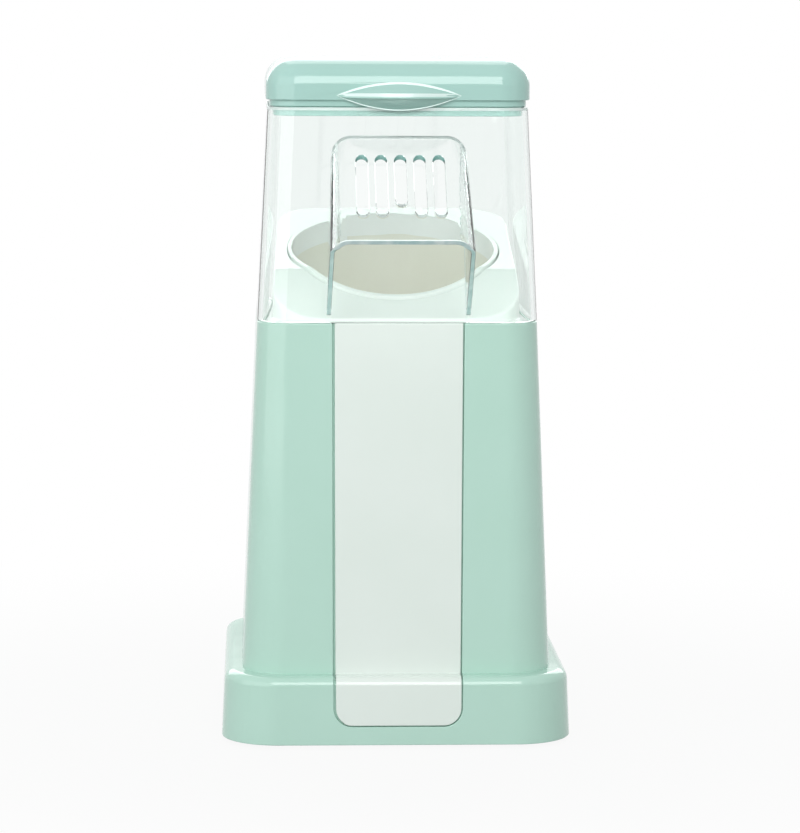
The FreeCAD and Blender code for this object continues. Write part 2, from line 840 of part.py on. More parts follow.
def build_deck():
    """The sloping deck: a hollow block with a flange in the body's rebate and a hole for the mouth."""
    block = deck_block("deck_block", ZERO, ZERO)
    flange = sketch(block, "XY", body_top - s.rebate_depth)
    inset = (s.rebate_lip + s.fit_gap) * 2
    corner = s.body_corner_top - s.rebate_lip - s.fit_gap
    rounded(flange, s.body_width_top - inset, body_depth_top - inset, corner, y=middle_y)
    pad(block, flange, s.rebate_depth)
    core = deck_block("deck_core", s.deck_wall, s.deck_wall)
    hollow = cut("deck_hollow", block, core)
    tool = new_body("mouth_tool")
    mouth_turn(tool, s.mouth_wall + s.fit_gap, "Revolution")
    keep(cut("deck", hollow, tool))


def build_funnel_ring():
    """The wall of the mouth, from a bead over the slope down to the chamber."""
    body = new_body("funnel_ring")
    mouth_turn(body, s.mouth_wall, "Revolution")
    mouth_turn(body, ZERO, "Groove")
    cut_to_slope(body, s.mouth_bead)
    keep(body)


def build_popping_chamber():
    """The cup: a spun wall with a domed floor, a flange and slanted louvres that swirl the hot air."""
    body = new_body("popping_chamber")
    profile = chamber_sketch(body)
    inner, sheet_t = s.chamber_radius, s.chamber_sheet
    floor, wall_low = chamber_floor, chamber_floor + s.chamber_dish
    dome = floor + s.dome_rise
    rim_low = chamber_top - sheet_t
    outline(profile, [
        (ZERO, dome),
        (s.dish_inner, floor),
        (s.dish_outer, floor),
        (inner + sheet_t, wall_low),
        (inner + sheet_t, rim_low),
        (s.chamber_flange, rim_low),
        (s.chamber_flange, chamber_top),
        (inner, chamber_top),
        (inner, wall_low + sheet_t),
        (s.dish_outer, floor + sheet_t),
        (s.dish_inner, floor + sheet_t),
        (ZERO, dome + sheet_t),
    ])
    turn(body, profile)
    louvre = chamber_sketch(body)
    half_run, half = s.louvre_length / 2, s.louvre_width / 2
    middle = chamber_floor + s.louvre_rise
    outline(louvre, [
        (-half - s.louvre_lean, middle - half_run),
        (half - s.louvre_lean, middle - half_run),
        (half + s.louvre_lean, middle + half_run),
        (-half + s.louvre_lean, middle + half_run),
    ])
    opening = pocket(body, louvre, s.chamber_radius * 2, Reversed=True)
    repeat(body, opening, louvre, "V_Axis", LOUVRES)
    keep(body)


def build_chamber_gasket():
    """The seal between the chamber's flange and the mouth."""
    top = chamber_top + s.gasket_thickness
    outer = s.chamber_radius + s.mouth_wall
    keep(ring("chamber_gasket", s.chamber_radius, outer, chamber_top, top, y=chamber_y))


def build_hot_air_duct():
    """The can round the chamber and the heater, standing on the fan housing's flange."""
    body = new_body("hot_air_duct")
    profile = chamber_sketch(body)
    outer = s.duct_radius + s.duct_sheet
    top = chamber_top - s.chamber_sheet
    outline(profile, [
        (s.duct_radius, duct_low),
        (s.duct_flange, duct_low),
        (s.duct_flange, duct_low + s.duct_sheet),
        (outer, duct_low + s.duct_sheet),
        (outer, top),
        (s.duct_radius, top),
    ])
    turn(body, profile)
    keep(body)


def build_heater():
    """The mica liner and crossed former, with the heating wire in a flat spiral on top."""
    liner_outer = s.duct_radius - s.fit_gap
    liner_inner = liner_outer - s.liner_sheet
    keep(ring("mica_liner", liner_inner, liner_outer, duct_low, duct_low + s.liner_height, y=chamber_y))
    former = new_body("heater_former")
    cross = sketch(former, "XY", duct_low, (ZERO, chamber_y))
    arm, half = liner_inner - s.fit_gap, s.former_sheet / 2
    outline(cross, [
        (arm, -half), (arm, half), (half, half), (half, arm), (-half, arm), (-half, half),
        (-arm, half), (-arm, -half), (-half, -half), (-half, -arm), (half, -arm), (half, -half),
    ])
    pad(former, cross, s.former_height)
    keep(former)
    coil = new_body("heater_coil")
    level = duct_low + s.former_height + s.coil_wire + s.fit_gap
    spiral = sketch(coil, "XY", level, (ZERO, chamber_y))
    axis_line = -1
    previous = None
    for index in range(COIL_HALF_TURNS):
        upper = index % 2 == 0
        centre = s.coil_step / (-2 if upper else 2)
        radius = s.coil_radius + s.coil_step * index
        hub = Part.Circle(Vector(centre.value, 0, 0), Vector(0, 0, 1), radius.value)
        first = 0.0 if upper else math.pi
        arc = spiral.addGeometry(Part.ArcOfCircle(hub, first, first + math.pi))
        pin(spiral, arc, 3, centre, ZERO)
        spiral.addConstraint(Sketcher.Constraint("PointOnObject", arc, 2, axis_line))
        if previous is None:
            bind(spiral, "Radius", arc, size=radius)
            spiral.addConstraint(Sketcher.Constraint("PointOnObject", arc, 1, axis_line))
        else:
            spiral.addConstraint(Sketcher.Constraint("Coincident", previous, 2, arc, 1))
        previous = arc
    section = chamber_sketch(coil)
    circle(section, s.coil_radius - s.coil_step / 2, level, s.coil_wire)
    feature(coil, "AdditivePipe", Profile=section, Spine=(spiral, []))
    keep(coil)


def build_heat_guards():
    """The thermostat saddled on the duct and the fuse beside the former."""
    block = doc.addObject("Part::Cylinder", "thermostat_block")
    block.setExpression("Radius", s.thermostat_radius.text)
    block.setExpression("Height", (s.thermostat_length * 2).text)
    block.Placement = FreeCAD.Placement(Vector(0, 0, 0), FreeCAD.Rotation(Vector(0, 1, 0), 90))
    reach = s.duct_radius + s.duct_sheet + s.thermostat_length
    height = duct_low + s.thermostat_rise
    place(block, -reach, chamber_y, height)
    saddle = s.duct_radius + s.duct_sheet + s.saddle_gap
    low, high = height - s.thermostat_radius * 2, height + s.thermostat_radius * 2
    keep(cut("thermostat", block, cylinder("thermostat_saddle", saddle, low, high, y=chamber_y)))
    fuse_body = doc.addObject("Part::Cylinder", "thermal_fuse")
    fuse_body.Label = "thermal_fuse"
    fuse_body.setExpression("Radius", s.fuse_radius.text)
    fuse_body.setExpression("Height", s.fuse_length.text)
    fuse_body.Placement = FreeCAD.Placement(Vector(0, 0, 0), FreeCAD.Rotation(Vector(0, 1, 0), 90))
    beside = chamber_y + s.former_sheet / 2 + s.fuse_radius + s.fit_gap
    place(fuse_body, s.fuse_length, beside, duct_low + s.former_height / 2)
    keep(fuse_body)


def build_fan_housing():
    """The cup round the fan: a floor with intake holes, a wall and a flange for the duct."""
    body = new_body("fan_housing")
    profile = chamber_sketch(body)
    outer = s.duct_radius
    outline(profile, [
        (s.bush_radius, fan_floor),
        (outer, fan_floor),
        (outer, duct_low - s.fan_flange_height),
        (s.duct_flange, duct_low - s.fan_flange_height),
        (s.duct_flange, duct_low),
        (outer - s.fan_wall, duct_low),
        (outer - s.fan_wall, fan_floor_top),
        (s.bush_radius, fan_floor_top),
    ])
    turn(body, profile)
    holes = sketch(body, "XY", fan_floor)
    for x, y in around_chamber(s.intake_circle, INTAKE_HOLES):
        circle(holes, x, y, s.intake_radius)
    for x, y in around_chamber(s.motor_screw_circle, 2):
        circle(holes, x, y, s.screw_radius + s.screw_clearance)
    pocket(body, holes, s.fan_floor_sheet * 2, Reversed=True)
    keep(body)


def build_motor():
    """The motor can with its two bushes, and the rectifier board under it."""
    body = new_body("motor")
    profile = chamber_sketch(body)
    high = fan_floor
    outline(profile, [
        (s.bush_radius, motor_low),
        (s.motor_radius, motor_low, s.motor_edge),
        (s.motor_radius, high),
        (s.bush_radius, high),
        (s.bush_radius, high - s.bush_length),
        (s.motor_bore, high - s.bush_length),
        (s.motor_bore, motor_low + s.bush_length),
        (s.bush_radius, motor_low + s.bush_length),
    ])
    turn(body, profile)
    holes = sketch(body, "XY", high)
    for x, y in around_chamber(s.motor_screw_circle, 2):
        circle(holes, x, y, s.screw_radius + s.screw_clearance / 2)
    pocket(body, holes, s.motor_screw_length)
    keep(body)
    bore = s.shaft_radius + s.shaft_fit
    outside = s.bush_radius - s.shaft_fit
    bushes = [
        ring("bush_low", bore, outside, motor_low, motor_low + s.bush_length, y=chamber_y),
        ring("bush_high", bore, outside, high - s.bush_length, high, y=chamber_y),
    ]
    keep(group("motor_bushes", bushes))
    board_top = motor_low - s.fit_gap
    board_low = board_top - s.board_thickness
    keep(ring("rectifier_board", s.motor_bore, s.board_radius, board_low, board_top, y=chamber_y))


def build_fan():
    """The impeller with backward blades, on the motor's shaft under a nut."""
    keep(cylinder("motor_shaft", s.shaft_radius, motor_low, shaft_top, y=chamber_y))
    body = new_body("fan_impeller")
    profile = chamber_sketch(body)
    bore = s.shaft_radius + s.shaft_fit
    disc_top = fan_low + s.fan_disc
    outline(profile, [
        (bore, fan_low), (s.fan_radius, fan_low), (s.fan_radius, disc_top),
        (s.fan_hub, disc_top), (s.fan_hub, fan_top), (bore, fan_top),
    ])
    turn(body, profile)
    plan = sketch(body, "XY", fan_low + s.fan_disc / 2, (ZERO, chamber_y))
    root, tip, sweep = s.fan_blade_root, s.fan_radius - s.fan_rim, s.fan_blade_sweep
    half = s.fan_blade / 2
    outline(plan, [(root, -half), (tip, sweep - half), (tip, sweep + half), (root, half)])
    blade = pad(body, plan, s.fan_blade_height)
    repeat(body, blade, plan, "N_Axis", FAN_BLADES)
    keep(body)
    keep(ring("fan_nut", bore, s.nut_radius, nut_low, nut_low + s.nut_height, y=chamber_y))


def build_terminal_block():
    """The block on the base plate where the supply leads end, with a row of wire holes."""
    body = new_body("terminal_block")
    x = s.block_place
    y = base_back - s.base_wall - s.gland_flange - s.block_depth
    plan = sketch(body, "XY", plate_top)
    rounded(plan, s.block_width, s.block_depth, s.block_corner, x=x, y=y)
    pad(body, plan, s.block_height)
    holes = sketch(body, "XZ", y)
    for index in (-1, 0, 1):
        circle(holes, x + s.block_pitch * index, plate_top + s.block_height / 2, s.block_hole)
    pocket(body, holes, s.block_depth * 2, SideType="Symmetric")
    keep(body)


def rear_wall_point(height):
    """The y of the body's rear wall at a height."""
    taper = (body_depth_low - body_depth_top) / 2
    return middle_y + body_depth_low / 2 - taper * (height - s.base_top) / s.body_height


def build_switch():
    """The power switch on the rear wall: a housing with a bezel, and a rocker on its pins."""
    housing = new_body("switch_housing")
    behind = sketch(housing, "XZ", -s.switch_depth)
    rounded(behind, s.switch_width, s.switch_length, s.switch_corner)
    pad(housing, behind, s.switch_depth + s.bezel_thickness / 2, Reversed=True)
    bezel = sketch(housing, "XZ", s.fit_gap)
    rim = s.bezel_rim * 2
    rounded(bezel, s.switch_width + rim, s.switch_length + rim, s.bezel_corner)
    pad(housing, bezel, s.bezel_thickness, Reversed=True)
    well = sketch(housing, "XZ", s.fit_gap + s.bezel_thickness)
    rounded(well, s.well_width, s.well_length, s.well_corner)
    pocket(housing, well, s.well_depth + s.bezel_thickness, Reversed=True)
    pins = sketch(housing, "YZ")
    circle(pins, -s.rocker_pivot, ZERO, s.rocker_pin + s.shaft_fit)
    reach = s.rocker_width + s.rocker_pin_reach * 2 + s.fit_gap * 2
    pocket(housing, pins, reach, SideType="Symmetric")
    wall_y = rear_wall_point(switch_z)
    place(housing, s.switch_place, wall_y, switch_z, lean=body_lean)
    keep(housing)
    rocker = new_body("switch_rocker")
    side = sketch(rocker, "YZ")
    outline(side, [
        (-s.rocker_root_drop, -s.rocker_root),
        (s.rocker_end, -s.rocker_half, s.rocker_edge),
        (s.rocker_dip, ZERO),
        (s.rocker_end, s.rocker_half, s.rocker_edge),
        (-s.rocker_root_drop, s.rocker_root),
    ])
    pad(rocker, side, s.rocker_width, SideType="Symmetric")
    pin_ends = sketch(rocker, "YZ")
    circle(pin_ends, ZERO, ZERO, s.rocker_pin)
    pad(rocker, pin_ends, s.rocker_width + s.rocker_pin_reach * 2, SideType="Symmetric")
    pivot_y = wall_y - s.rocker_pivot * cos_of(body_lean)
    pivot_z = switch_z - s.rocker_pivot * sin_of(body_lean)
    place(rocker, s.switch_place, pivot_y, pivot_z, lean=body_lean - degrees(s.rocker_tilt_deg))
    keep(rocker)


def build_cord_gland():
    """The inlet for the supply lead: a grommet held in the rear wall of the base."""
    body = new_body("cord_gland")
    profile = sketch(body, "XY")
    rise = (gland_z - s.foot_height) / (s.base_top - s.foot_height)
    inner_wall = base_back - s.base_draft * rise - s.base_wall
    inside = inner_wall - gland_seat - s.fit_gap * 2
    outline(profile, [
        (s.gland_bore, inside - s.gland_lip),
        (s.gland_flange, inside - s.gland_lip),
        (s.gland_flange, inside),
        (s.gland_neck, inside),
        (s.gland_neck, ZERO),
        (s.gland_flange, ZERO),
        (s.gland_neck, s.gland_lip),
        (s.gland_bore, s.gland_lip),
    ])
    turn(body, profile)
    place(body, s.gland_place, gland_seat, gland_z)
    keep(body)


def hood_section(body, y, width, top, inset, roof, low):
    """One upright section of the hood: straight legs that spread a little under a round-cornered roof."""
    drawing = sketch(body, "XZ", y)
    half_top = width / 2 - inset
    half_low = s.hood_width_low / 2 - inset
    corner = s.hood_corner - inset
    outline(drawing, [
        (-half_low, low),
        (half_low, low),
        (half_top, top - roof, corner),
        (-half_top, top - roof, corner),
    ])
    return drawing


def build_clear_cover():
    """The clear housing that carries on the body's taper, open above, below and at the chute."""
    body = new_body("clear_cover")
    for kind, wall in (("AdditiveLoft", ZERO), ("SubtractiveLoft", s.cover_wall)):
        low = sketch(body, "XY", cover_low)
        corner_low = s.body_corner_top - wall
        rounded(low, s.body_width_top - wall * 2, body_depth_top - wall * 2, corner_low, y=middle_y)
        high = sketch(body, "XY", rim_top)
        corner_top = s.cover_corner_top - wall
        rounded(high, cover_width_top - wall * 2, cover_depth_top - wall * 2, corner_top, y=middle_y)
        loft(body, low, high, kind)
    drop = body_top - s.lift_gap
    top, roof = hood_top, s.hood_roof
    opening = hood_section(body, middle_y, s.hood_width_top, top, s.hood_wall, roof, drop)
    pocket(body, opening, s.base_depth, Reversed=True)
    keep(body)


def build_chute_hood():
    """The clear hood: a sloping roof on two legs, with a slanted rim and five slots."""
    body = new_body("chute_hood")
    low = cover_low + s.hood_foot
    for kind, inset, roof, foot in (
        ("AdditiveLoft", ZERO, ZERO, low),
        ("SubtractiveLoft", s.hood_wall, s.hood_roof, low - s.hood_wall),
    ):
        back = hood_section(body, cover_front_top, s.hood_width_top, hood_top, inset, roof, foot)
        front = hood_section(body, chute_front, s.hood_width_lip, hood_lip, inset, roof, foot)
        loft(body, back, front, kind)
    behind = sketch(body, "YZ")
    outline(behind, [
        (cover_front_low, cover_low),
        (middle_y, cover_low),
        (middle_y, rim_top),
        (cover_front_top, rim_top),
    ])
    pocket(body, behind, s.hood_width_low * 2, SideType="Symmetric")
    under = sketch(body, "YZ")
    ahead = chute_front - s.hood_wall
    outline(under, [
        (chute_front, hood_lip - s.hood_lip_drop),
        (ahead, hood_lip - s.hood_lip_drop),
        (ahead, cover_low),
        (cover_front_low, cover_low),
        (cover_front_low, low),
    ])
    pocket(body, under, s.hood_width_low * 2, SideType="Symmetric")
    slots = sketch(body, "XY", rim_top)
    top = cover_front_top - s.slot_start
    for index in range(-2, 3):
        run = s.slot_run_middle if index == 0 else s.slot_run
        slot(slots, s.slot_pitch * index, top - run, top, s.slot_width)
    pocket(body, slots, rim_top - body_top)
    keep(body)


def lid_block(label, inset):
    """A block with round corners and a round top edge, smaller by an inset."""
    body = new_body(label)
    plan = sketch(body, "XY", lid_low)
    corner = s.cover_corner_top + s.lid_overhang - inset
    rounded(plan, lid_width - inset * 2, lid_depth - inset * 2, corner, y=middle_y)
    top = rim_top + s.lid_rise - inset
    pad(body, plan, top - lid_low)
    round_edges(body, top, s.lid_edge - inset)
    return body


def build_lid():
    """The lid: a hollow cap on a neck, a plug inside the rim and a lens-shaped grip on the front edge."""
    block = lid_block("lid_block", ZERO)
    half = s.grip_width / 2
    radius = (half * half + s.grip_reach * s.grip_reach) / (s.grip_reach * 2)
    axis_y = lid_front - s.grip_reach + radius
    grip = sketch(block, "YZ", at=(axis_y, ZERO))
    wall = radius - s.grip_reach
    outline(grip, [
        (-wall + s.lid_wall, lid_low + s.grip_above),
        (-wall, lid_low + s.grip_above),
        (-radius, lid_low + s.grip_crest, s.grip_edge),
        (-wall, lid_low - s.grip_below),
        (-wall + s.lid_wall, lid_low - s.grip_below),
    ])
    turn(block, grip, angle=spread_of(half, radius), Midplane=True)
    trim = sketch(block, "YZ")
    back = lid_front + lid_depth / 2
    low = lid_low - s.grip_below * 2
    outline(trim, [(lid_front, low), (back, low), (back, lid_low), (lid_front, lid_low)])
    pocket(block, trim, lid_width, SideType="Symmetric")
    core = lid_block("lid_core", s.lid_wall)
    shell = cut("lid_shell", block, core)
    plug = new_body("lid_plug")
    outside = s.cover_wall + s.plug_gap
    inside = outside + s.plug_wall
    plug_height = s.plug_depth + s.lid_rise - s.lid_edge / 2
    neck_height = s.lid_stand - s.lift_gap + s.lid_wall
    for low, wide, height in (
        (rim_top - s.plug_depth, outside, plug_height),
        (rim_top + s.lift_gap, s.neck_inset, neck_height),
    ):
        ring_plan = sketch(plug, "XY", low)
        for inset in (wide, inside):
            corner = s.cover_corner_top - inset
            rounded(ring_plan, cover_width_top - inset * 2, cover_depth_top - inset * 2, corner, y=middle_y)
        pad(plug, ring_plan, height)
    keep(fuse("lid", shell, plug))


def write_parts():
    """Check every object, then write one file for each piece."""
    doc.recompute()
    for item in doc.Objects:
        if "Invalid" in item.State or "Error" in item.State:
            raise RuntimeError(f"{item.Label} failed: {item.State}")
    for item in nodes:
        if item.Shape.isNull() or not item.Shape.isValid():
            raise RuntimeError(f"{item.Label} has no valid shape")
    os.makedirs("parts", exist_ok=True)
    for item in nodes:
        item.Shape.exportStep(f"parts/{item.Label}.step")
        print(item.Label, len(item.Shape.Solids), round(item.Shape.Volume, 1))


def main():
    recess = build_front_panel()
    build_base_plinth(recess)
    build_base_plate()
    build_rubber_feet()
    build_screws()
    build_body_shell(recess)
    build_deck()
    build_funnel_ring()
    build_popping_chamber()
    build_chamber_gasket()
    build_hot_air_duct()
    build_heater()
    build_heat_guards()
    build_fan_housing()
    build_motor()
    build_fan()
    build_terminal_block()
    build_switch()
    build_cord_gland()
    build_clear_cover()
    build_chute_hood()
    build_lid()
    write_parts()


main()
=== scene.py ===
"""Looks of a hot-air popcorn maker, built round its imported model.

Metres, +Z up, front towards -Y.  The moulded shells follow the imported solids, with their sharp
edges rounded as a mould rounds them, and the small fittings are modelled here.
"""

import json
import logging
import math
from collections.abc import Callable, Sequence
from dataclasses import dataclass, field
from enum import Enum, IntEnum
from functools import cache
from typing import Any

import bmesh
import bpy
from bmesh.types import BMEdge, BMesh, BMFace, BMVert
from bpy.types import Material, Node, NodeSocket, NodeTree, Object
from mathutils import Matrix, Vector


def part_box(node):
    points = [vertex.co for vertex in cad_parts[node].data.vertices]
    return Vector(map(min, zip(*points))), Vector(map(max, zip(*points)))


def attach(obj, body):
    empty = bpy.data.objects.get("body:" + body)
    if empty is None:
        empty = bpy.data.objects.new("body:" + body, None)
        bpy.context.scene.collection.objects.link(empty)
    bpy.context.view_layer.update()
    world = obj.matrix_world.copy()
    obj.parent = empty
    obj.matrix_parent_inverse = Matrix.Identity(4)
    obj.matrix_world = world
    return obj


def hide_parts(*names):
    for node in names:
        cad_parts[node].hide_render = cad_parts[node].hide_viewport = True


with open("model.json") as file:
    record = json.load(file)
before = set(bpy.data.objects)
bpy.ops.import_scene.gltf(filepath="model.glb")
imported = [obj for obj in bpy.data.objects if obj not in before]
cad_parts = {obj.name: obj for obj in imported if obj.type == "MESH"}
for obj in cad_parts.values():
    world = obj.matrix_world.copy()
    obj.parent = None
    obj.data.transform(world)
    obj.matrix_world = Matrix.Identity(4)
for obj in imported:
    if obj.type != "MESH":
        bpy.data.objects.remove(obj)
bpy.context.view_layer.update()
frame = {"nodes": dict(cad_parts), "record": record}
LOG = logging.getLogger("popcorn_maker")
MM = 0.001
Profile = tuple[tuple[float, float], ...]
RECORD = frame["record"]
BODY_OF = {node: body for body, nodes in RECORD["behaviour"]["bodies"].items() for node in nodes}

# Points closer than WELD are one, and edges shorter than SLIVER are closed up.
WELD = 0.002 * MM
SLIVER = 0.12 * MM
# Faces that bend less than FLAT are one, and edges that bend more than SHARP are rounded.
FLAT = math.radians(0.3)
SHARP = math.radians(24.0)
# The faces across a rounding, and across that of a small piece.
ROUND_STEPS = 3
SMALL_STEPS = 2
# Nearly all of a noise pattern lies between these values.
NOISE_SPREAD = {"From Min": 0.3, "From Max": 0.7}
# The sockets of a Mix node: its two colours, the colour that comes out, and its two values.
MIX_A, MIX_B, MIX_OUT = 6, 7, 2
MIX_VALUE_A, MIX_VALUE_B = 2, 3
# The radians that a Wave node's pattern turns through in a metre, at a scale of 1.
WAVE_RATE = 20


def linear(colour: str) -> tuple[float, float, float, float]:
    """Turn an sRGB hex colour into the linear one that a shader takes.

    Args:
        colour: the colour as "#RRGGBB".

    Returns:
        Red, green, blue and an alpha of 1.
    """
    shares = [int(colour[at:at + 2], 16) / 255 for at in (1, 3, 5)]
    red, green, blue = (v / 12.92 if v <= 0.04045 else ((v + 0.055) / 1.055) ** 2.4 for v in shares)
    return red, green, blue, 1.0


def per_metre(size_mm: float) -> float:
    """Return the texture scale at which one feature is size_mm across."""
    return 1.0 / (size_mm * MM)


def add_node(
    tree: NodeTree,
    kind: str,
    settings: dict[str | int, Any] | None = None,
    links: dict[str | int, NodeSocket] | None = None,
) -> Node:
    """Add a shader node with its settings and links.

    Args:
        tree: the node tree that takes the node.
        kind: the node's Blender type.
        settings: values for the node's own options or, where it has no such option, for its
            input sockets.
        links: output sockets to join to input sockets, by the input's name or number.

    Returns:
        The new node.
    """
    node = tree.nodes.new(kind)
    for key, value in (settings or {}).items():
        if isinstance(key, str) and hasattr(node, key):
            setattr(node, key, value)
        else:
            node.inputs[key].default_value = value
    for key, socket in (links or {}).items():
        tree.links.new(socket, node.inputs[key])
    return node


@dataclass(frozen=True)
class Finish:
    """A surface finish: a named material that is drawn once and shared."""

    name: str

    def material(self) -> Material:
        """Return the finish's material, drawn at its first use."""
        known = bpy.data.materials.get(self.name)
        if known is not None:
            return known
        made = bpy.data.materials.new(self.name)
        made.use_nodes = True
        made.node_tree.nodes.clear()
        self.draw(made.node_tree)
        return made

    def draw(self, tree: NodeTree) -> None:
        """Draw the finish's nodes.

        Args:
            tree: the material's empty node tree.
        """
        raise NotImplementedError


@dataclass(frozen=True)
class Moulding(Finish):
    """A moulded plastic or rubber: faint flow clouds, a skin that is not quite flat, and a grain.

    The grain is drawn coarser than the real one, so that it shows.
    """

    colour: str = "#FFFFFF"
    cloud: str = "#F4F4F4"
    roughness: float = 0.25
    uneven: float = 0.04
    ior: float = 1.53
    cloud_mm: float = 45.0
    ripple_mm: float = 14.0
    ripple_depth_mm: float = 0.01
    grain_mm: float = 0.9
    grain_depth_mm: float = 0.001

    def draw(self, tree: NodeTree) -> None:
        """Draw the moulding's nodes; see Finish.draw."""
        place = {"Vector": add_node(tree, "ShaderNodeTexCoord").outputs["Object"]}
        settings = {"Scale": per_metre(self.cloud_mm), "Detail": 3.0}
        links = {"Value": add_node(tree, "ShaderNodeTexNoise", settings, place).outputs["Fac"]}
        spread = add_node(tree, "ShaderNodeMapRange", NOISE_SPREAD, links).outputs["Result"]
        settings = {"data_type": "RGBA", MIX_A: linear(self.colour), MIX_B: linear(self.cloud)}
        tone = add_node(tree, "ShaderNodeMix", settings, {0: spread}).outputs[MIX_OUT]
        settings = {"Scale": per_metre(self.ripple_mm), "Detail": 1.0}
        ripple = add_node(tree, "ShaderNodeTexNoise", settings, place).outputs["Fac"]
        low, high = self.roughness - self.uneven, self.roughness + self.uneven
        settings = NOISE_SPREAD | {"To Min": low, "To Max": high}
        rough = add_node(tree, "ShaderNodeMapRange", settings, {"Value": ripple}).outputs["Result"]
        settings = {"Distance": self.ripple_depth_mm * MM}
        wavy = add_node(tree, "ShaderNodeBump", settings, {"Height": ripple}).outputs["Normal"]
        settings = {"Scale": per_metre(self.grain_mm), "Detail": 2.0}
        grain = add_node(tree, "ShaderNodeTexNoise", settings, place).outputs["Fac"]
        settings = {"Distance": self.grain_depth_mm * MM}
        links = {"Height": grain, "Normal": wavy}
        skin = add_node(tree, "ShaderNodeBump", settings, links).outputs["Normal"]
        links = {"Base Color": tone, "Roughness": rough, "Normal": skin}
        shader = add_node(tree, "ShaderNodeBsdfPrincipled", {"IOR": self.ior}, links)
        add_node(tree, "ShaderNodeOutputMaterial", None, {"Surface": shader.outputs["BSDF"]})


@dataclass(frozen=True)
class ClearPlastic(Finish):
    """A clear moulding: nearly colourless through its wall, tinted where the eye looks along it."""

    skin: str = "#FCFEFD"
    tint: str = "#7FB3AA"
    density: float = 24.0
    roughness: float = 0.012
    ior: float = 1.54
    wave_mm: float = 26.0
    wave_depth_mm: float = 0.03

    def draw(self, tree: NodeTree) -> None:
        """Draw the clear plastic's nodes; see Finish.draw."""
        place = {"Vector": add_node(tree, "ShaderNodeTexCoord").outputs["Object"]}
        settings = {"Scale": per_metre(self.wave_mm), "Detail": 1.0}
        links = {"Height": add_node(tree, "ShaderNodeTexNoise", settings, place).outputs["Fac"]}
        settings = {"Distance": self.wave_depth_mm * MM}
        links = {"Normal": add_node(tree, "ShaderNodeBump", settings, links).outputs["Normal"]}
        settings = {"Base Color": linear(self.skin), "Transmission Weight": 1.0}
        settings |= {"Roughness": self.roughness, "IOR": self.ior}
        shader = add_node(tree, "ShaderNodeBsdfPrincipled", settings, links)
        settings = {"Color": linear(self.tint), "Density": self.density}
        depth = add_node(tree, "ShaderNodeVolumeAbsorption", settings)
        links = {"Surface": shader.outputs["BSDF"], "Volume": depth.outputs["Volume"]}
        add_node(tree, "ShaderNodeOutputMaterial", None, links)


@dataclass(frozen=True)
class ClearEdge(Finish):
    """The cut edge of a clear moulding, where the light that the wall has gathered comes out."""

    colour: str = "#8FB9B3"
    cloud: str = "#A9CCC7"
    roughness: float = 0.3
    ior: float = 1.56
    see_through: float = 0.35
    cloud_mm: float = 7.0
    cloud_spread: tuple[float, float] = (0.35, 0.65)

    def draw(self, tree: NodeTree) -> None:
        """Draw the edge's nodes; see Finish.draw."""
        place = {"Vector": add_node(tree, "ShaderNodeTexCoord").outputs["Object"]}
        settings = {"Scale": per_metre(self.cloud_mm), "Detail": 2.0}
        links = {"Value": add_node(tree, "ShaderNodeTexNoise", settings, place).outputs["Fac"]}
        settings = {"From Min": self.cloud_spread[0], "From Max": self.cloud_spread[1]}
        spread = add_node(tree, "ShaderNodeMapRange", settings, links).outputs["Result"]
        settings = {"data_type": "RGBA", MIX_A: linear(self.colour), MIX_B: linear(self.cloud)}
        tone = add_node(tree, "ShaderNodeMix", settings, {0: spread}).outputs[MIX_OUT]
        settings = {"Roughness": self.roughness, "IOR": self.ior}
        settings |= {"Transmission Weight": self.see_through}
        shader = add_node(tree, "ShaderNodeBsdfPrincipled", settings, {"Base Color": tone})
        add_node(tree, "ShaderNodeOutputMaterial", None, {"Surface": shader.outputs["BSDF"]})


class Grain(Enum):
    """How a metal's surface was made, which gives it its pattern."""

    SPUN = "rings round the chamber's axis"
    SPANGLE = "zinc crystals"
    PLAIN = "fine even grain"


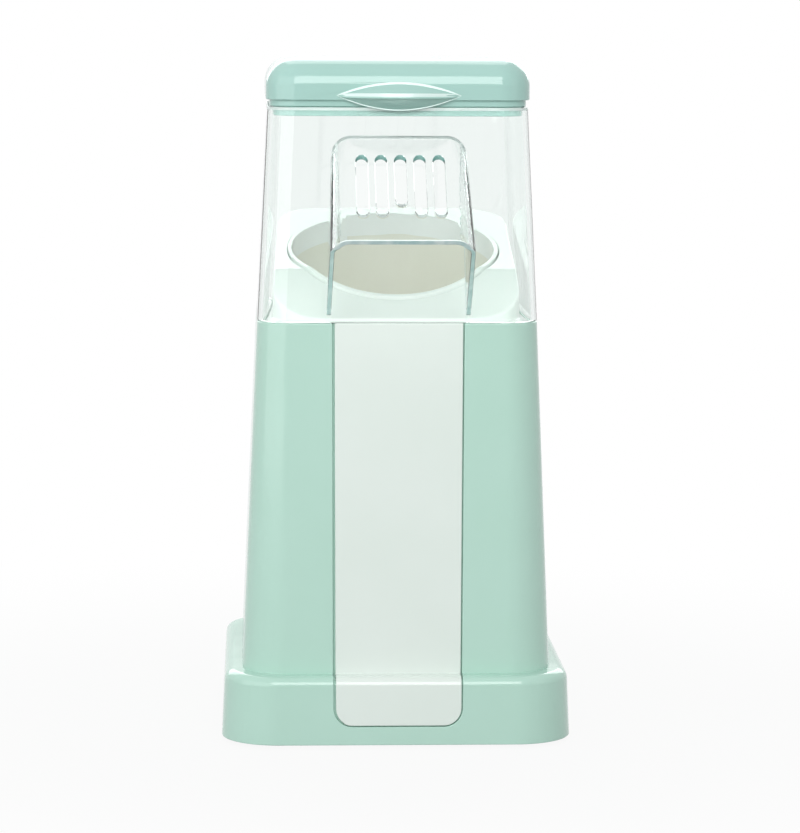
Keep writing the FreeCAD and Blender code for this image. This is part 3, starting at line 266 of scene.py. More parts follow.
@dataclass(frozen=True)
class Metal(Finish):
    """A bare metal with the pattern that its making left.

    Rings and plain grain are drawn coarser than the real ones, so that they show.
    """

    colour: str = "#C8C9CA"
    shade: str = "#B4B6B8"
    roughness: float = 0.3
    uneven: float = 0.08
    grain: Grain = Grain.PLAIN
    grain_mm: float = 0.6
    grain_depth_mm: float = 0.01

    def pattern(self, tree: NodeTree) -> NodeSocket:
        """Draw the metal's pattern.

        Args:
            tree: the node tree that takes it.

        Returns:
            The pattern's value.
        """
        place = add_node(tree, "ShaderNodeTexCoord").outputs["Object"]
        if self.grain is Grain.SPUN:
            low, high = corners("popping_chamber")
            settings = {"operation": "SUBTRACT", 1: (low + high) / 2}
            place = add_node(tree, "ShaderNodeVectorMath", settings, {0: place}).outputs[0]
            settings = {"wave_type": "RINGS", "rings_direction": "Z"}
            settings |= {"Scale": per_metre(self.grain_mm) / WAVE_RATE}
            settings |= {"Distortion": 1.5, "Detail": 2.0}
            return add_node(tree, "ShaderNodeTexWave", settings, {"Vector": place}).outputs["Fac"]
        if self.grain is Grain.SPANGLE:
            settings = {"Scale": per_metre(self.grain_mm), "Randomness": 1.0}
            cells = add_node(tree, "ShaderNodeTexVoronoi", settings, {"Vector": place})
            split = add_node(tree, "ShaderNodeSeparateColor", None, {0: cells.outputs["Color"]})
            return split.outputs[0]
        settings = {"Scale": per_metre(self.grain_mm), "Detail": 3.0}
        return add_node(tree, "ShaderNodeTexNoise", settings, {"Vector": place}).outputs["Fac"]

    def draw(self, tree: NodeTree) -> None:
        """Draw the metal's nodes; see Finish.draw."""
        pattern = self.pattern(tree)
        links = {"Value": pattern}
        spread = add_node(tree, "ShaderNodeMapRange", NOISE_SPREAD, links).outputs["Result"]
        settings = {"data_type": "RGBA", MIX_A: linear(self.colour), MIX_B: linear(self.shade)}
        tone = add_node(tree, "ShaderNodeMix", settings, {0: spread}).outputs[MIX_OUT]
        low, high = self.roughness - self.uneven, self.roughness + self.uneven
        settings = {"To Min": low, "To Max": high}
        rough = add_node(tree, "ShaderNodeMapRange", settings, {"Value": spread}).outputs["Result"]
        settings = {"Distance": self.grain_depth_mm * MM}
        skin = add_node(tree, "ShaderNodeBump", settings, {"Height": pattern}).outputs["Normal"]
        links = {"Base Color": tone, "Roughness": rough, "Normal": skin}
        shader = add_node(tree, "ShaderNodeBsdfPrincipled", {"Metallic": 1.0}, links)
        add_node(tree, "ShaderNodeOutputMaterial", None, {"Surface": shader.outputs["BSDF"]})


# Glossy ABS in mint: a clean pastel skin with soft, slightly uneven highlights.
MINT_ABS = Moulding("moulded_mint_abs", "#B6D9CC", "#B3D7C9", roughness=0.11, uneven=0.02)
# The same ABS, moulded in another run: a touch bluer and polished, so that it mirrors the lamps.
LID_ABS = Moulding("polished_mint_abs", "#A8CFC7", "#A5CDC4", roughness=0.1, uneven=0.02)
# The front of the lid grip's lip and beads: mint ABS painted paler, a painted highlight for the lamps'
# reflection along these rims.
GRIP_HIGHLIGHT_ABS = Moulding("mint_abs_with_painted_highlight", "#E0F2EE", "#D8EEE9", roughness=0.1, uneven=0.02)
# Glossy white ABS; the faint green in its colour is painted light, the mint's light bounced onto it from
# beside.
WHITE_ABS = Moulding("moulded_white_abs", "#E1EAE5", "#DEE8E2", roughness=0.12, uneven=0.02)
# White ABS of the mouth's collar, polished, and painted paler than the deck's: painted light for the light
# and reflections that its wall catches inside the mouth.
PAINTED_LIGHT_COLLAR_ABS = Moulding("white_abs_with_painted_light", "#F3F8F5", "#F0F6F2", roughness=0.1, uneven=0.02)
# Satin polypropylene, warmer than the white and softer in its highlights.
CREAM_PP = Moulding(
    "moulded_cream_polypropylene", "#EBEDE0", "#E8EADC", roughness=0.16, uneven=0.03, ior=1.49,
)
# Clear styrene-acrylonitrile: it shows mainly by its edges, which look grey-green.
CLEAR_SAN = ClearPlastic("clear_styrene_acrylonitrile")
# The same plastic in the hood, where the flow round the slots has left the skin wavy.
WAVY_SAN = ClearPlastic("wavy_clear_styrene_acrylonitrile", wave_mm=12.0, wave_depth_mm=0.07)
# Its cut edge: light gathered by the wall comes out as a teal line.
EDGE_SAN = ClearEdge("edge_of_clear_styrene_acrylonitrile", "#98C1BE", "#C9E2DF", cloud_mm=9.0)
# The edge of the hood's lip, which the slots above it light in pale dashes.
LIP_SAN = ClearEdge(
    "lip_of_clear_styrene_acrylonitrile", "#A9CBCC", "#DCEBEA", see_through=0.4, cloud_mm=6.0,
)
# The end wall of a slot, deep in the hood, from which less light comes.
DEEP_EDGE_SAN = ClearEdge(
    "deep_edge_of_clear_styrene_acrylonitrile", "#74A7A0", "#80B2AB", see_through=0.2,
)
# An edge of clear plastic painted nearly white: a painted highlight where the edge faces the light.
PAINTED_HIGHLIGHT_EDGE_SAN = ClearEdge(
    "clear_san_edge_with_painted_highlight", "#E6F2EF", "#F0F8F6", see_through=0.5,
)
# Glass-filled polypropylene with a sparked mould texture that scatters the light.
GREY_PP = Moulding(
    "sparked_grey_polypropylene", "#5E6462", "#575D5B", roughness=0.55, uneven=0.06, ior=1.49,
    cloud_mm=20.0, ripple_mm=6.0, grain_mm=0.8, grain_depth_mm=0.02,
)
# Nylon, dark and satin, for the fan.
FAN_NYLON = Moulding(
    "moulded_dark_nylon", "#2B2D2E", "#26282A", roughness=0.45, uneven=0.06,
    cloud_mm=20.0, ripple_mm=6.0, grain_mm=0.8, grain_depth_mm=0.012,
)
# Black nylon of a rocker switch, glossy on the touched face.
SWITCH_NYLON = Moulding(
    "moulded_black_nylon", "#1C1D1E", "#18191A", roughness=0.3, uneven=0.06,
    cloud_mm=12.0, ripple_mm=5.0, ripple_depth_mm=0.006, grain_mm=0.7, grain_depth_mm=0.006,
)
# Printed white of the switch's marks.
MARK_WHITE = Moulding(
    "printed_white_ink", "#E8E8E4", "#DEDEDA", roughness=0.5, uneven=0.05, ior=1.5,
    cloud_mm=6.0, ripple_mm=2.0, ripple_depth_mm=0.004, grain_mm=0.5, grain_depth_mm=0.004,
)
# Nitrile rubber: dull, with a fine dusty bloom.
RUBBER = Moulding(
    "moulded_nitrile_rubber", "#262727", "#303130", roughness=0.75, uneven=0.08, ior=1.52,
    cloud_mm=8.0, ripple_mm=4.0, grain_mm=0.7, grain_depth_mm=0.03,
)
# Red-brown silicone of a heat seal: a dull skin.
SILICONE = Moulding(
    "moulded_red_silicone", "#A8553F", "#9C4C38", roughness=0.6, uneven=0.06, ior=1.41,
    cloud_mm=10.0, ripple_mm=4.0, grain_mm=0.8, grain_depth_mm=0.02,
)
# Mica sheet: flaky gold-brown layers with a dull pearl.
MICA = Moulding(
    "split_mica_sheet", "#B49A6C", "#8F7A55", roughness=0.5, uneven=0.15, ior=1.58,
    cloud_mm=6.0, ripple_mm=3.0, ripple_depth_mm=0.04, grain_depth_mm=0.02,
)
# Glass-epoxy board under green solder mask, which is half glossy.
BOARD = Moulding(
    "green_glass_epoxy_board", "#1F5B36", "#1A4E2F", roughness=0.35, uneven=0.06, ior=1.55,
    cloud_mm=4.0, ripple_mm=2.0, grain_mm=0.5, grain_depth_mm=0.01,
)
# Spun aluminium: bright rings left by the spinning tool.
SPUN_ALUMINIUM = Metal(
    "spun_aluminium", "#D2D3D4", "#BDBFC1", roughness=0.3, uneven=0.07,
    grain=Grain.SPUN, grain_mm=1.2, grain_depth_mm=0.012,
)
# Galvanised sheet: grey with a patchwork of zinc crystals.
GALVANISED = Metal(
    "galvanised_sheet_steel", "#B9BDC0", "#9FA4A8", roughness=0.38, uneven=0.1,
    grain=Grain.SPANGLE, grain_mm=7.0, grain_depth_mm=0.004,
)
# Zinc-plated steel of screws and the nut: bright, with a fine grain.
ZINC_STEEL = Metal(
    "zinc_plated_steel", "#C9CACB", "#B2B4B6", roughness=0.28, grain_mm=0.5, grain_depth_mm=0.006,
)
# Sintered bronze of the bushes, matt and porous.
BRONZE = Metal(
    "sintered_bronze", "#B98A55", "#9C7244", roughness=0.5, uneven=0.1,
    grain_mm=0.4, grain_depth_mm=0.02,
)
# Nickel-chrome heating wire, darkened by heat.
HEATING_WIRE = Metal(
    "oxidised_nickel_chrome_wire", "#77706C", "#5C5653", roughness=0.5, uneven=0.12, grain_mm=0.8,
)


class Weigh(Enum):
    """How the faces round a point share in its shading."""

    AREA = "FACE_AREA"
    AREA_AND_ANGLE = "FACE_AREA_WITH_ANGLE"


class Mouth(IntEnum):
    """The parts of the chamber's mouth, in the order of their finishes."""

    WALL = 0
    COLLAR = 1
    RIM = 2


class Clear(IntEnum):
    """The faces of a clear moulding, in the order of their finishes."""

    WALL = 0
    CUT = 1
    # Faces painted nearly white as a highlight.
    PAINTED_HIGHLIGHT = 2
    SLOT_END = 3
    LIP = 4


@cache
def corners(node: str) -> tuple[Vector, Vector]:
    """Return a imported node's lowest and highest corner."""
    low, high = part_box(node)
    return Vector(low), Vector(high)


def box_of(points: Sequence[Vector]) -> tuple[Vector, Vector]:
    """Return the lowest and the highest corner of some points."""
    columns = list(zip(*points))
    return Vector([min(column) for column in columns]), Vector([max(column) for column in columns])


def followed(node: str) -> BMesh:
    """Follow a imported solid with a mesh.

    Args:
        node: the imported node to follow.

    Returns:
        Its mesh, with doubled points welded.
    """
    mesh = bmesh.new()
    mesh.from_mesh(frame["nodes"][node].data)
    bmesh.ops.remove_doubles(mesh, verts=mesh.verts, dist=WELD)
    return mesh


def softened(
    node: str,
    radius_mm: float,
    steps: int = ROUND_STEPS,
    keep: Callable[[BMEdge], bool] | None = None,
    flat: float = FLAT,
    sliver: float = SLIVER,
) -> BMesh:
    """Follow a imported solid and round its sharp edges.

    Args:
        node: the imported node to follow.
        radius_mm: the rounding's radius.
        steps: the faces across the rounding.
        keep: tells the edges that stay sharp.
        flat: the angle below which faces count as one flat face.
        sliver: the length below which an edge is closed up.

    Returns:
        The rounded mesh.
    """
    mesh = followed(node)
    bmesh.ops.dissolve_limit(mesh, angle_limit=flat, verts=mesh.verts, edges=mesh.edges)
    bmesh.ops.dissolve_degenerate(mesh, dist=sliver, edges=mesh.edges)
    edges = [
        edge for edge in mesh.edges
        if edge.is_manifold and edge.calc_face_angle() > SHARP and not (keep and keep(edge))
    ]
    bmesh.ops.bevel(
        mesh, geom=edges, offset=radius_mm * MM, offset_type="OFFSET", segments=steps, profile=0.5,
        affect="EDGES", clamp_overlap=False, miter_outer="ARC", loop_slide=True,
    )
    return mesh


def islands(node: str) -> list[list[Vector]]:
    """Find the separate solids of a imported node.

    Args:
        node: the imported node.

    Returns:
        The corner points of each solid.
    """
    mesh = followed(node)
    left = set(mesh.verts)
    found = []
    while left:
        reached = [left.pop()]
        for vert in reached:
            near = {edge.other_vert(vert) for edge in vert.link_edges} & left
            left -= near
            reached.extend(near)
        found.append([vert.co.copy() for vert in reached])
    mesh.free()
    return found


def turn(mesh: BMesh, profile: Sequence[tuple[float, float]], middle: Vector, steps: int) -> None:
    """Turn a profile round a vertical axis.

    Args:
        mesh: the mesh that takes the turned skin.
        profile: radius and height of each point, in metres.
        middle: the axis' place; its z is added to the heights.
        steps: the faces round the axis.
    """
    line = [mesh.verts.new(middle + Vector((radius, 0.0, height))) for radius, height in profile]
    edges = [mesh.edges.new(pair) for pair in zip(line, line[1:])]
    bmesh.ops.spin(
        mesh, geom=line + edges, cent=middle, axis=(0.0, 0.0, 1.0), angle=math.tau, steps=steps,
        use_merge=True,
    )
    bmesh.ops.remove_doubles(mesh, verts=mesh.verts, dist=WELD)


def score(mesh: BMesh, point: Vector, normal: Vector) -> None:
    """Divide a mesh's faces along a plane, so that each side can take its own finish."""
    around = [*mesh.verts, *mesh.edges, *mesh.faces]
    bmesh.ops.bisect_plane(mesh, geom=around, plane_co=point, plane_no=normal)


def add_piece(
    name: str,
    mesh: BMesh,
    finish: Finish,
    node: str,
    replace: bool = True,
    others: Sequence[Finish] = (),
    choose: Callable[[BMFace], int] | None = None,
    sharp: float = SHARP,
    weigh: Weigh = Weigh.AREA,
) -> Object:
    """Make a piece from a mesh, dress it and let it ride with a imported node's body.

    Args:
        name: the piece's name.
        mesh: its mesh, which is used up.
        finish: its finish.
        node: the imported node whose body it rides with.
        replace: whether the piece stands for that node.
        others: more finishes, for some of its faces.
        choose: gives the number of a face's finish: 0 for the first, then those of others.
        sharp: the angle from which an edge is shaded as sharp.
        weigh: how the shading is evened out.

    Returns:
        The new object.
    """
    mesh.normal_update()
    for line in mesh.edges:
        line.smooth = not line.is_manifold or line.calc_face_angle() < sharp
    for face in mesh.faces:
        face.smooth = True
        face.material_index = choose(face) if choose else 0
    data = bpy.data.meshes.new(name)
    mesh.to_mesh(data)
    mesh.free()
    for layer in (finish, *others):
        data.materials.append(layer.material())
    piece = bpy.data.objects.new(name, data)
    bpy.context.scene.collection.objects.link(piece)
    even = piece.modifiers.new("even_shading", "WEIGHTED_NORMAL")
    even.keep_sharp = True
    even.mode = weigh.value
    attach(piece, BODY_OF[node])
    if replace:
        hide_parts(node)
    LOG.info("%s: %d faces, on %s", name, len(data.polygons), BODY_OF[node])
    return piece


def add_shell(
    name: str, node: str, finish: Finish, edge_mm: float = 0.0, steps: int = ROUND_STEPS,
) -> None:
    """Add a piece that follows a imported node, with its sharp edges rounded where edge_mm says so."""
    mesh = softened(node, edge_mm, steps) if edge_mm else followed(node)
    add_piece(name, mesh, finish, node)


@dataclass
class Screws:
    """A set of pan-head screws with a cross recess and a rolled thread.

    Profiles are radius and height: tip in shank radii, ridge in shank radii and pitches, and crown
    in head radii and head heights.
    """

    name: str
    node: str
    head_from: float = 0.8
    tip: Profile = ((0.0, 0.0), (0.45, 0.0), (0.8, 0.5))
    ridge: Profile = ((0.8, 0.0), (1.0, 0.3), (0.8, 0.6))
    plain_share: float = 0.6
    neck_share: float = 0.9
    crown: Profile = ((1.0, 0.0), (1.0, 0.35), (0.95, 0.7), (0.86, 0.92))
    flat_share: float = 0.74
    recess_share: float = 0.62
    arm_share: float = 0.2
    recess_taper: float = 0.7
    recess_depth_mm: float = 1.1
    pitch_mm: float = 1.1
    steps: int = 40

    def build(self) -> None:
        """Build the screws where their solids are."""
        mesh = bmesh.new()
        for points in islands(self.node):
            self.screw(mesh, points)
        bmesh.ops.recalc_face_normals(mesh, faces=mesh.faces)
        add_piece(self.name, mesh, ZINC_STEEL, self.node)

    def screw(self, mesh: BMesh, points: Sequence[Vector]) -> None:
        """Build one screw.

        Args:
            mesh: the mesh that takes it.
            points: the corners of the solid that it follows.
        """
        low, high = box_of(points)
        middle = Vector(((low.x + high.x) / 2, (low.y + high.y) / 2, 0.0))
        radius = {point: (point - middle).to_2d().length for point in map(Vector.freeze, points)}
        head = max(radius.values())
        wide = [point.z for point in radius if radius[point] > self.head_from * head]
        down = sum(wide) / len(wide) < (low.z + high.z) / 2
        neck = max(wide) if down else min(wide)
        top, end = (low.z, high.z) if down else (high.z, low.z)
        half = abs(end - neck) / 2
        shank = max(radius[point] for point in radius if abs(point.z - end) < half)
        way = -1.0 if down else 1.0
        tall, flat = abs(top - neck), head * self.flat_share
        pitch, plain = self.pitch_mm * MM, shank * self.plain_share
        profile = [(shank * out, end + way * shank * up) for out, up in self.tip]
        left = abs(neck - end) - plain
        while left > plain:
            foot = neck - way * left
            profile += [(shank * out, foot + way * pitch * up) for out, up in self.ridge]
            left -= pitch
        profile.append((shank * self.neck_share, neck))
        profile += [(head * out, neck + way * tall * up) for out, up in self.crown]
        profile.append((flat, top))
        turn(mesh, profile, middle, self.steps)
        self.recess(mesh, middle, flat, top, way)

    def recess(self, mesh: BMesh, middle: Vector, flat: float, top: float, way: float) -> None:
        """Close a screw's head with its cross recess.

        Args:
            mesh: the mesh that holds the screw.
            middle: the screw's axis.
            flat: the radius of the head's flat.
            top: the flat's height.
            way: 1 where the head looks up, -1 where it looks down.
        """
        rim = [
            edge for edge in mesh.edges
            if edge.is_boundary and all(
                abs(vert.co.z - top) < WELD
                and abs((vert.co - middle).to_2d().length - flat) < SLIVER
                for vert in edge.verts
            )
        ]
        reach, arm = flat * self.recess_share / self.flat_share, flat * self.arm_share
        corner = [(reach, -arm), (reach, arm), (arm, arm)]
        cross = []
        for quarter in range(4):
            turned = Matrix.Rotation(quarter * math.pi / 2, 3, "Z")
            cross += [turned @ Vector((x, y, 0.0)) for x, y in corner]
        base = Vector((middle.x, middle.y, top))
        mouth = [mesh.verts.new(base + point) for point in cross]
        sunk = Vector((0.0, 0.0, -way * self.recess_depth_mm * MM))
        floor = [mesh.verts.new(base + point * self.recess_taper + sunk) for point in cross]
        lip = [mesh.edges.new((mouth[at - 1], mouth[at])) for at in range(len(mouth))]
        bmesh.ops.triangle_fill(mesh, use_beauty=True, use_dissolve=False, edges=rim + lip)
        for at in range(len(mouth)):
            mesh.faces.new((mouth[at - 1], mouth[at], floor[at], floor[at - 1]))
        mesh.faces.new(floor)


@dataclass
class BaseUnit:
    """The wide base with its underside, feet and screws.

    The foot's profile is radius in foot radii and height in depths of the hollow.
    """

    edge_mm: float = 0.5
    plate_edge_mm: float = 0.3
    foot_hollow_mm: float = 0.6
    foot_steps: int = 40
    foot: Profile = (
        (0.0, 1.0), (0.62, 1.0), (0.7, 0.7), (0.74, 0.0), (0.86, 0.0), (0.95, 0.4), (1.0, 1.4),
    )

    def build(self) -> None:
        """Build the base's pieces."""
        add_shell("base_shell", "base_plinth", MINT_ABS, self.edge_mm)
        add_shell("underside_plate", "base_plate", GREY_PP, self.plate_edge_mm, SMALL_STEPS)
        add_shell("connection_block", "terminal_block", GREY_PP, self.plate_edge_mm, SMALL_STEPS)
        self.feet()
        Screws("underside_screws", "base_screws").build()
        Screws("column_screws", "body_screws").build()

    def feet(self) -> None:
        """Build the rubber feet, each with a rounded rim and a hollow underside."""
        mesh = bmesh.new()
        hollow = self.foot_hollow_mm * MM
        for points in islands("rubber_feet"):
            low, high = box_of(points)
            radius, tall = (high.x - low.x) / 2, high.z - low.z
            profile = [(radius * out, hollow * up) for out, up in self.foot]
            profile += [(radius, tall), (0.0, tall)]
            middle = Vector(((low.x + high.x) / 2, (low.y + high.y) / 2, low.z))
            turn(mesh, profile, middle, self.foot_steps)
        bmesh.ops.recalc_face_normals(mesh, faces=mesh.faces)
        add_piece("hollow_feet", mesh, RUBBER, "rubber_feet")


@dataclass
class Column:
    """The tapered column and the white strip down its front."""

    edge_mm: float = 0.6
    strip_edge_mm: float = 0.5
    left_gap_mm: float = 0.45
    left_from: float = 0.85

    def build(self) -> None:
        """Build the column, and the strip a little to the right, so its left gap is the wider one."""
        foot = corners("body_shell")[0].z + self.edge_mm * MM
        shell = softened(
            "body_shell", self.edge_mm,
            keep=lambda edge: max(vert.co.z for vert in edge.verts) < foot,
        )
        add_piece("column_shell", shell, MINT_ABS, "body_shell")
        strip = softened("front_panel", self.strip_edge_mm, keep=lambda edge: not edge.is_convex)
        left = min(vert.co.x for vert in strip.verts)
        for vert in strip.verts:
            if vert.co.x < left * self.left_from:
                vert.co.x += self.left_gap_mm * MM
        add_piece("front_strip", strip, WHITE_ABS, "front_panel")


@dataclass
class PoppingUnit:
    """The deck, the mouth and the chamber with its heater."""

    deck_edge_mm: float = 1.2
    mouth_edge_mm: float = 0.35
    seal_edge_mm: float = 0.3
    metal_edge_mm: float = 0.15
    collar_mm: float = 10.0
    collar_tilt_deg: float = 14.8
    rim_rise: float = 0.4

    def build(self) -> None:
        """Build the pieces round the chamber."""
        add_shell("sloping_deck", "deck", WHITE_ABS, self.deck_edge_mm)
        mouth = softened("funnel_ring", self.mouth_edge_mm)
        score(mouth, *self.collar())
        # The collar takes the white with painted light; the rim takes the deck's white.
        finishes = [PAINTED_LIGHT_COLLAR_ABS, WHITE_ABS]
        add_piece("chamber_mouth", mouth, CREAM_PP, "funnel_ring", others=finishes, choose=self.mouth_part)
        add_shell("louvred_cup", "popping_chamber", SPUN_ALUMINIUM)
        add_shell("heat_seal", "chamber_gasket", SILICONE, self.seal_edge_mm)
        add_shell("air_duct", "hot_air_duct", GALVANISED)
        add_shell("duct_liner", "mica_liner", MICA)
        add_shell("mica_cross", "heater_former", MICA, self.metal_edge_mm, SMALL_STEPS)
        add_shell("heating_spiral", "heater_coil", HEATING_WIRE)
        add_shell("heat_switch", "thermostat", GALVANISED, self.metal_edge_mm, SMALL_STEPS)
        add_shell("fuse_tube", "thermal_fuse", ZINC_STEEL, self.metal_edge_mm, SMALL_STEPS)

    def collar(self) -> tuple[Vector, Vector]:
        """Find the lower edge of the mouth's white collar.

        Returns:
            A point of the plane that holds it, and that plane's normal.
        """
        tilt = math.radians(self.collar_tilt_deg)
        edge = corners("funnel_ring")[1] - Vector((0.0, 0.0, self.collar_mm * MM))
        return edge, Vector((0.0, -math.sin(tilt), math.cos(tilt)))

    def mouth_part(self, face: BMFace) -> Mouth:
        """Tell the mouth's collar from its wall, and from the rim, which is white as the deck is.

        Args:
            face: a face of the mouth.

        Returns:
            The face's part, which is the number of its finish.
        """
        low, high = corners("funnel_ring")
        edge, slope = self.collar()
        middle = face.calc_center_median()
        out = (middle - (low + high) / 2).to_2d()
        if face.normal.z >= self.rim_rise or face.normal.to_2d().dot(out) >= 0:
            return Mouth.RIM
        return Mouth.COLLAR if (middle - edge).dot(slope) > 0 else Mouth.WALL


@dataclass
class Blower:
    """The motor with its fan."""

    edge_mm: float = 0.2

    def build(self) -> None:
        """Build the blower's pieces."""
        add_shell("fan_case", "fan_housing", GREY_PP)
        add_shell("blade_wheel", "fan_impeller", FAN_NYLON)
        add_shell("motor_can", "motor", GALVANISED, self.edge_mm, SMALL_STEPS)
        add_shell("drive_shaft", "motor_shaft", ZINC_STEEL)
        add_shell("shaft_bushes", "motor_bushes", BRONZE)
        add_shell("wheel_nut", "fan_nut", ZINC_STEEL, self.edge_mm, SMALL_STEPS)
        add_shell("diode_board", "rectifier_board", BOARD)
        Screws("can_screws", "motor_screws").build()


@dataclass
class ClearTop:
    """The clear cover with its chute hood.

    A face is known by its normal: across is the least share of it that makes the face look
    forwards or back, and each rise is the share of it that points up.
    """

    cover_edge_mm: float = 0.5
    hood_edge_mm: float = 0.4
    hood_flat: float = math.radians(0.8)
    hood_sharp: float = math.radians(10.0)
    rim_mm: float = 1.4
    opening_depth_mm: float = 8.0
    opening_half_mm: float = 34.0
    slots_half_mm: float = 23.0
    lip_mm: float = 4.0
    lip_below_top_mm: float = 51.0
    across: float = 0.5
    arch_rise: float = 0.6
    roof_rise: float = 0.62
    inner_roof_rise: float = -0.3
    bevel_rise: float = 0.25
    edges: tuple[Finish, ...] = (EDGE_SAN, PAINTED_HIGHLIGHT_EDGE_SAN, DEEP_EDGE_SAN, LIP_SAN)

    def build(self) -> None:
        """Build the clear pieces; lamps shine through them."""
        cover = softened("clear_cover", self.cover_edge_mm)
        # The rim's top band is scored off so that it can take a painted highlight.
        rim = corners("clear_cover")[1] - Vector((0.0, 0.0, self.rim_mm * MM))
        score(cover, rim, Vector((0.0, 0.0, 1.0)))
        hood = softened("chute_hood", self.hood_edge_mm, flat=self.hood_flat, sliver=WELD)
        for piece in (
            add_piece(
                "cover_wall", cover, CLEAR_SAN, "clear_cover",
                others=self.edges, choose=self.cover_face,
            ),
            add_piece(
                "slotted_hood", hood, WAVY_SAN, "chute_hood",
                others=self.edges, choose=self.hood_face,
                sharp=self.hood_sharp, weigh=Weigh.AREA_AND_ANGLE,
            ),
        ):
            piece.visible_shadow = False

    def cover_face(self, face: BMFace) -> Clear:
        """Tell the cover's upper rim and the top of its opening's arch, which take a painted highlight,
        and the cut edge of its opening.

        Args:
            face: a face of the cover.

        Returns:
            The face's part, which is the number of its finish.
        """
        low, high = corners("clear_cover")
        middle = face.calc_center_median()
        # The rim's top band is painted pale, a painted highlight along the rim.
        if middle.z > high.z - self.rim_mm * MM:
            return Clear.PAINTED_HIGHLIGHT
        inside = abs(middle.x) < self.opening_half_mm * MM
        ahead = middle.y < low.y + self.opening_depth_mm * MM
        if not (inside and ahead) or abs(face.normal.y) > self.across:
            return Clear.WALL
        # The top of the opening's arch is painted pale, a painted highlight.
        return Clear.PAINTED_HIGHLIGHT if abs(face.normal.z) > self.arch_rise else Clear.CUT

    def hood_face(self, face: BMFace) -> Clear:
        """Tell the hood's cut front edge, with its lip, and the slots' ends.

        Args:
            face: a face of the hood.

        Returns:
            The face's part, which is the number of its finish.
        """
        low, high = corners("chute_hood")
        middle = face.calc_center_median()
        # Faces that look back into the cover, such as the slots' lower ends, are painted pale as a
        # highlight.
        if face.normal.y > self.across and face.normal.z > self.inner_roof_rise:
            return Clear.PAINTED_HIGHLIGHT
        if face.normal.y > -self.across or face.normal.z > self.roof_rise:
            return Clear.WALL
        among_slots = abs(middle.x) < self.slots_half_mm * MM
        if among_slots and middle.y > low.y + self.lip_mm * MM:
            return Clear.SLOT_END
        # The lip's upper rounding is painted pale, a painted highlight line.
        if face.normal.z > self.bevel_rise:
            return Clear.PAINTED_HIGHLIGHT
        return Clear.LIP if middle.z > high.z - self.lip_below_top_mm * MM else Clear.CUT


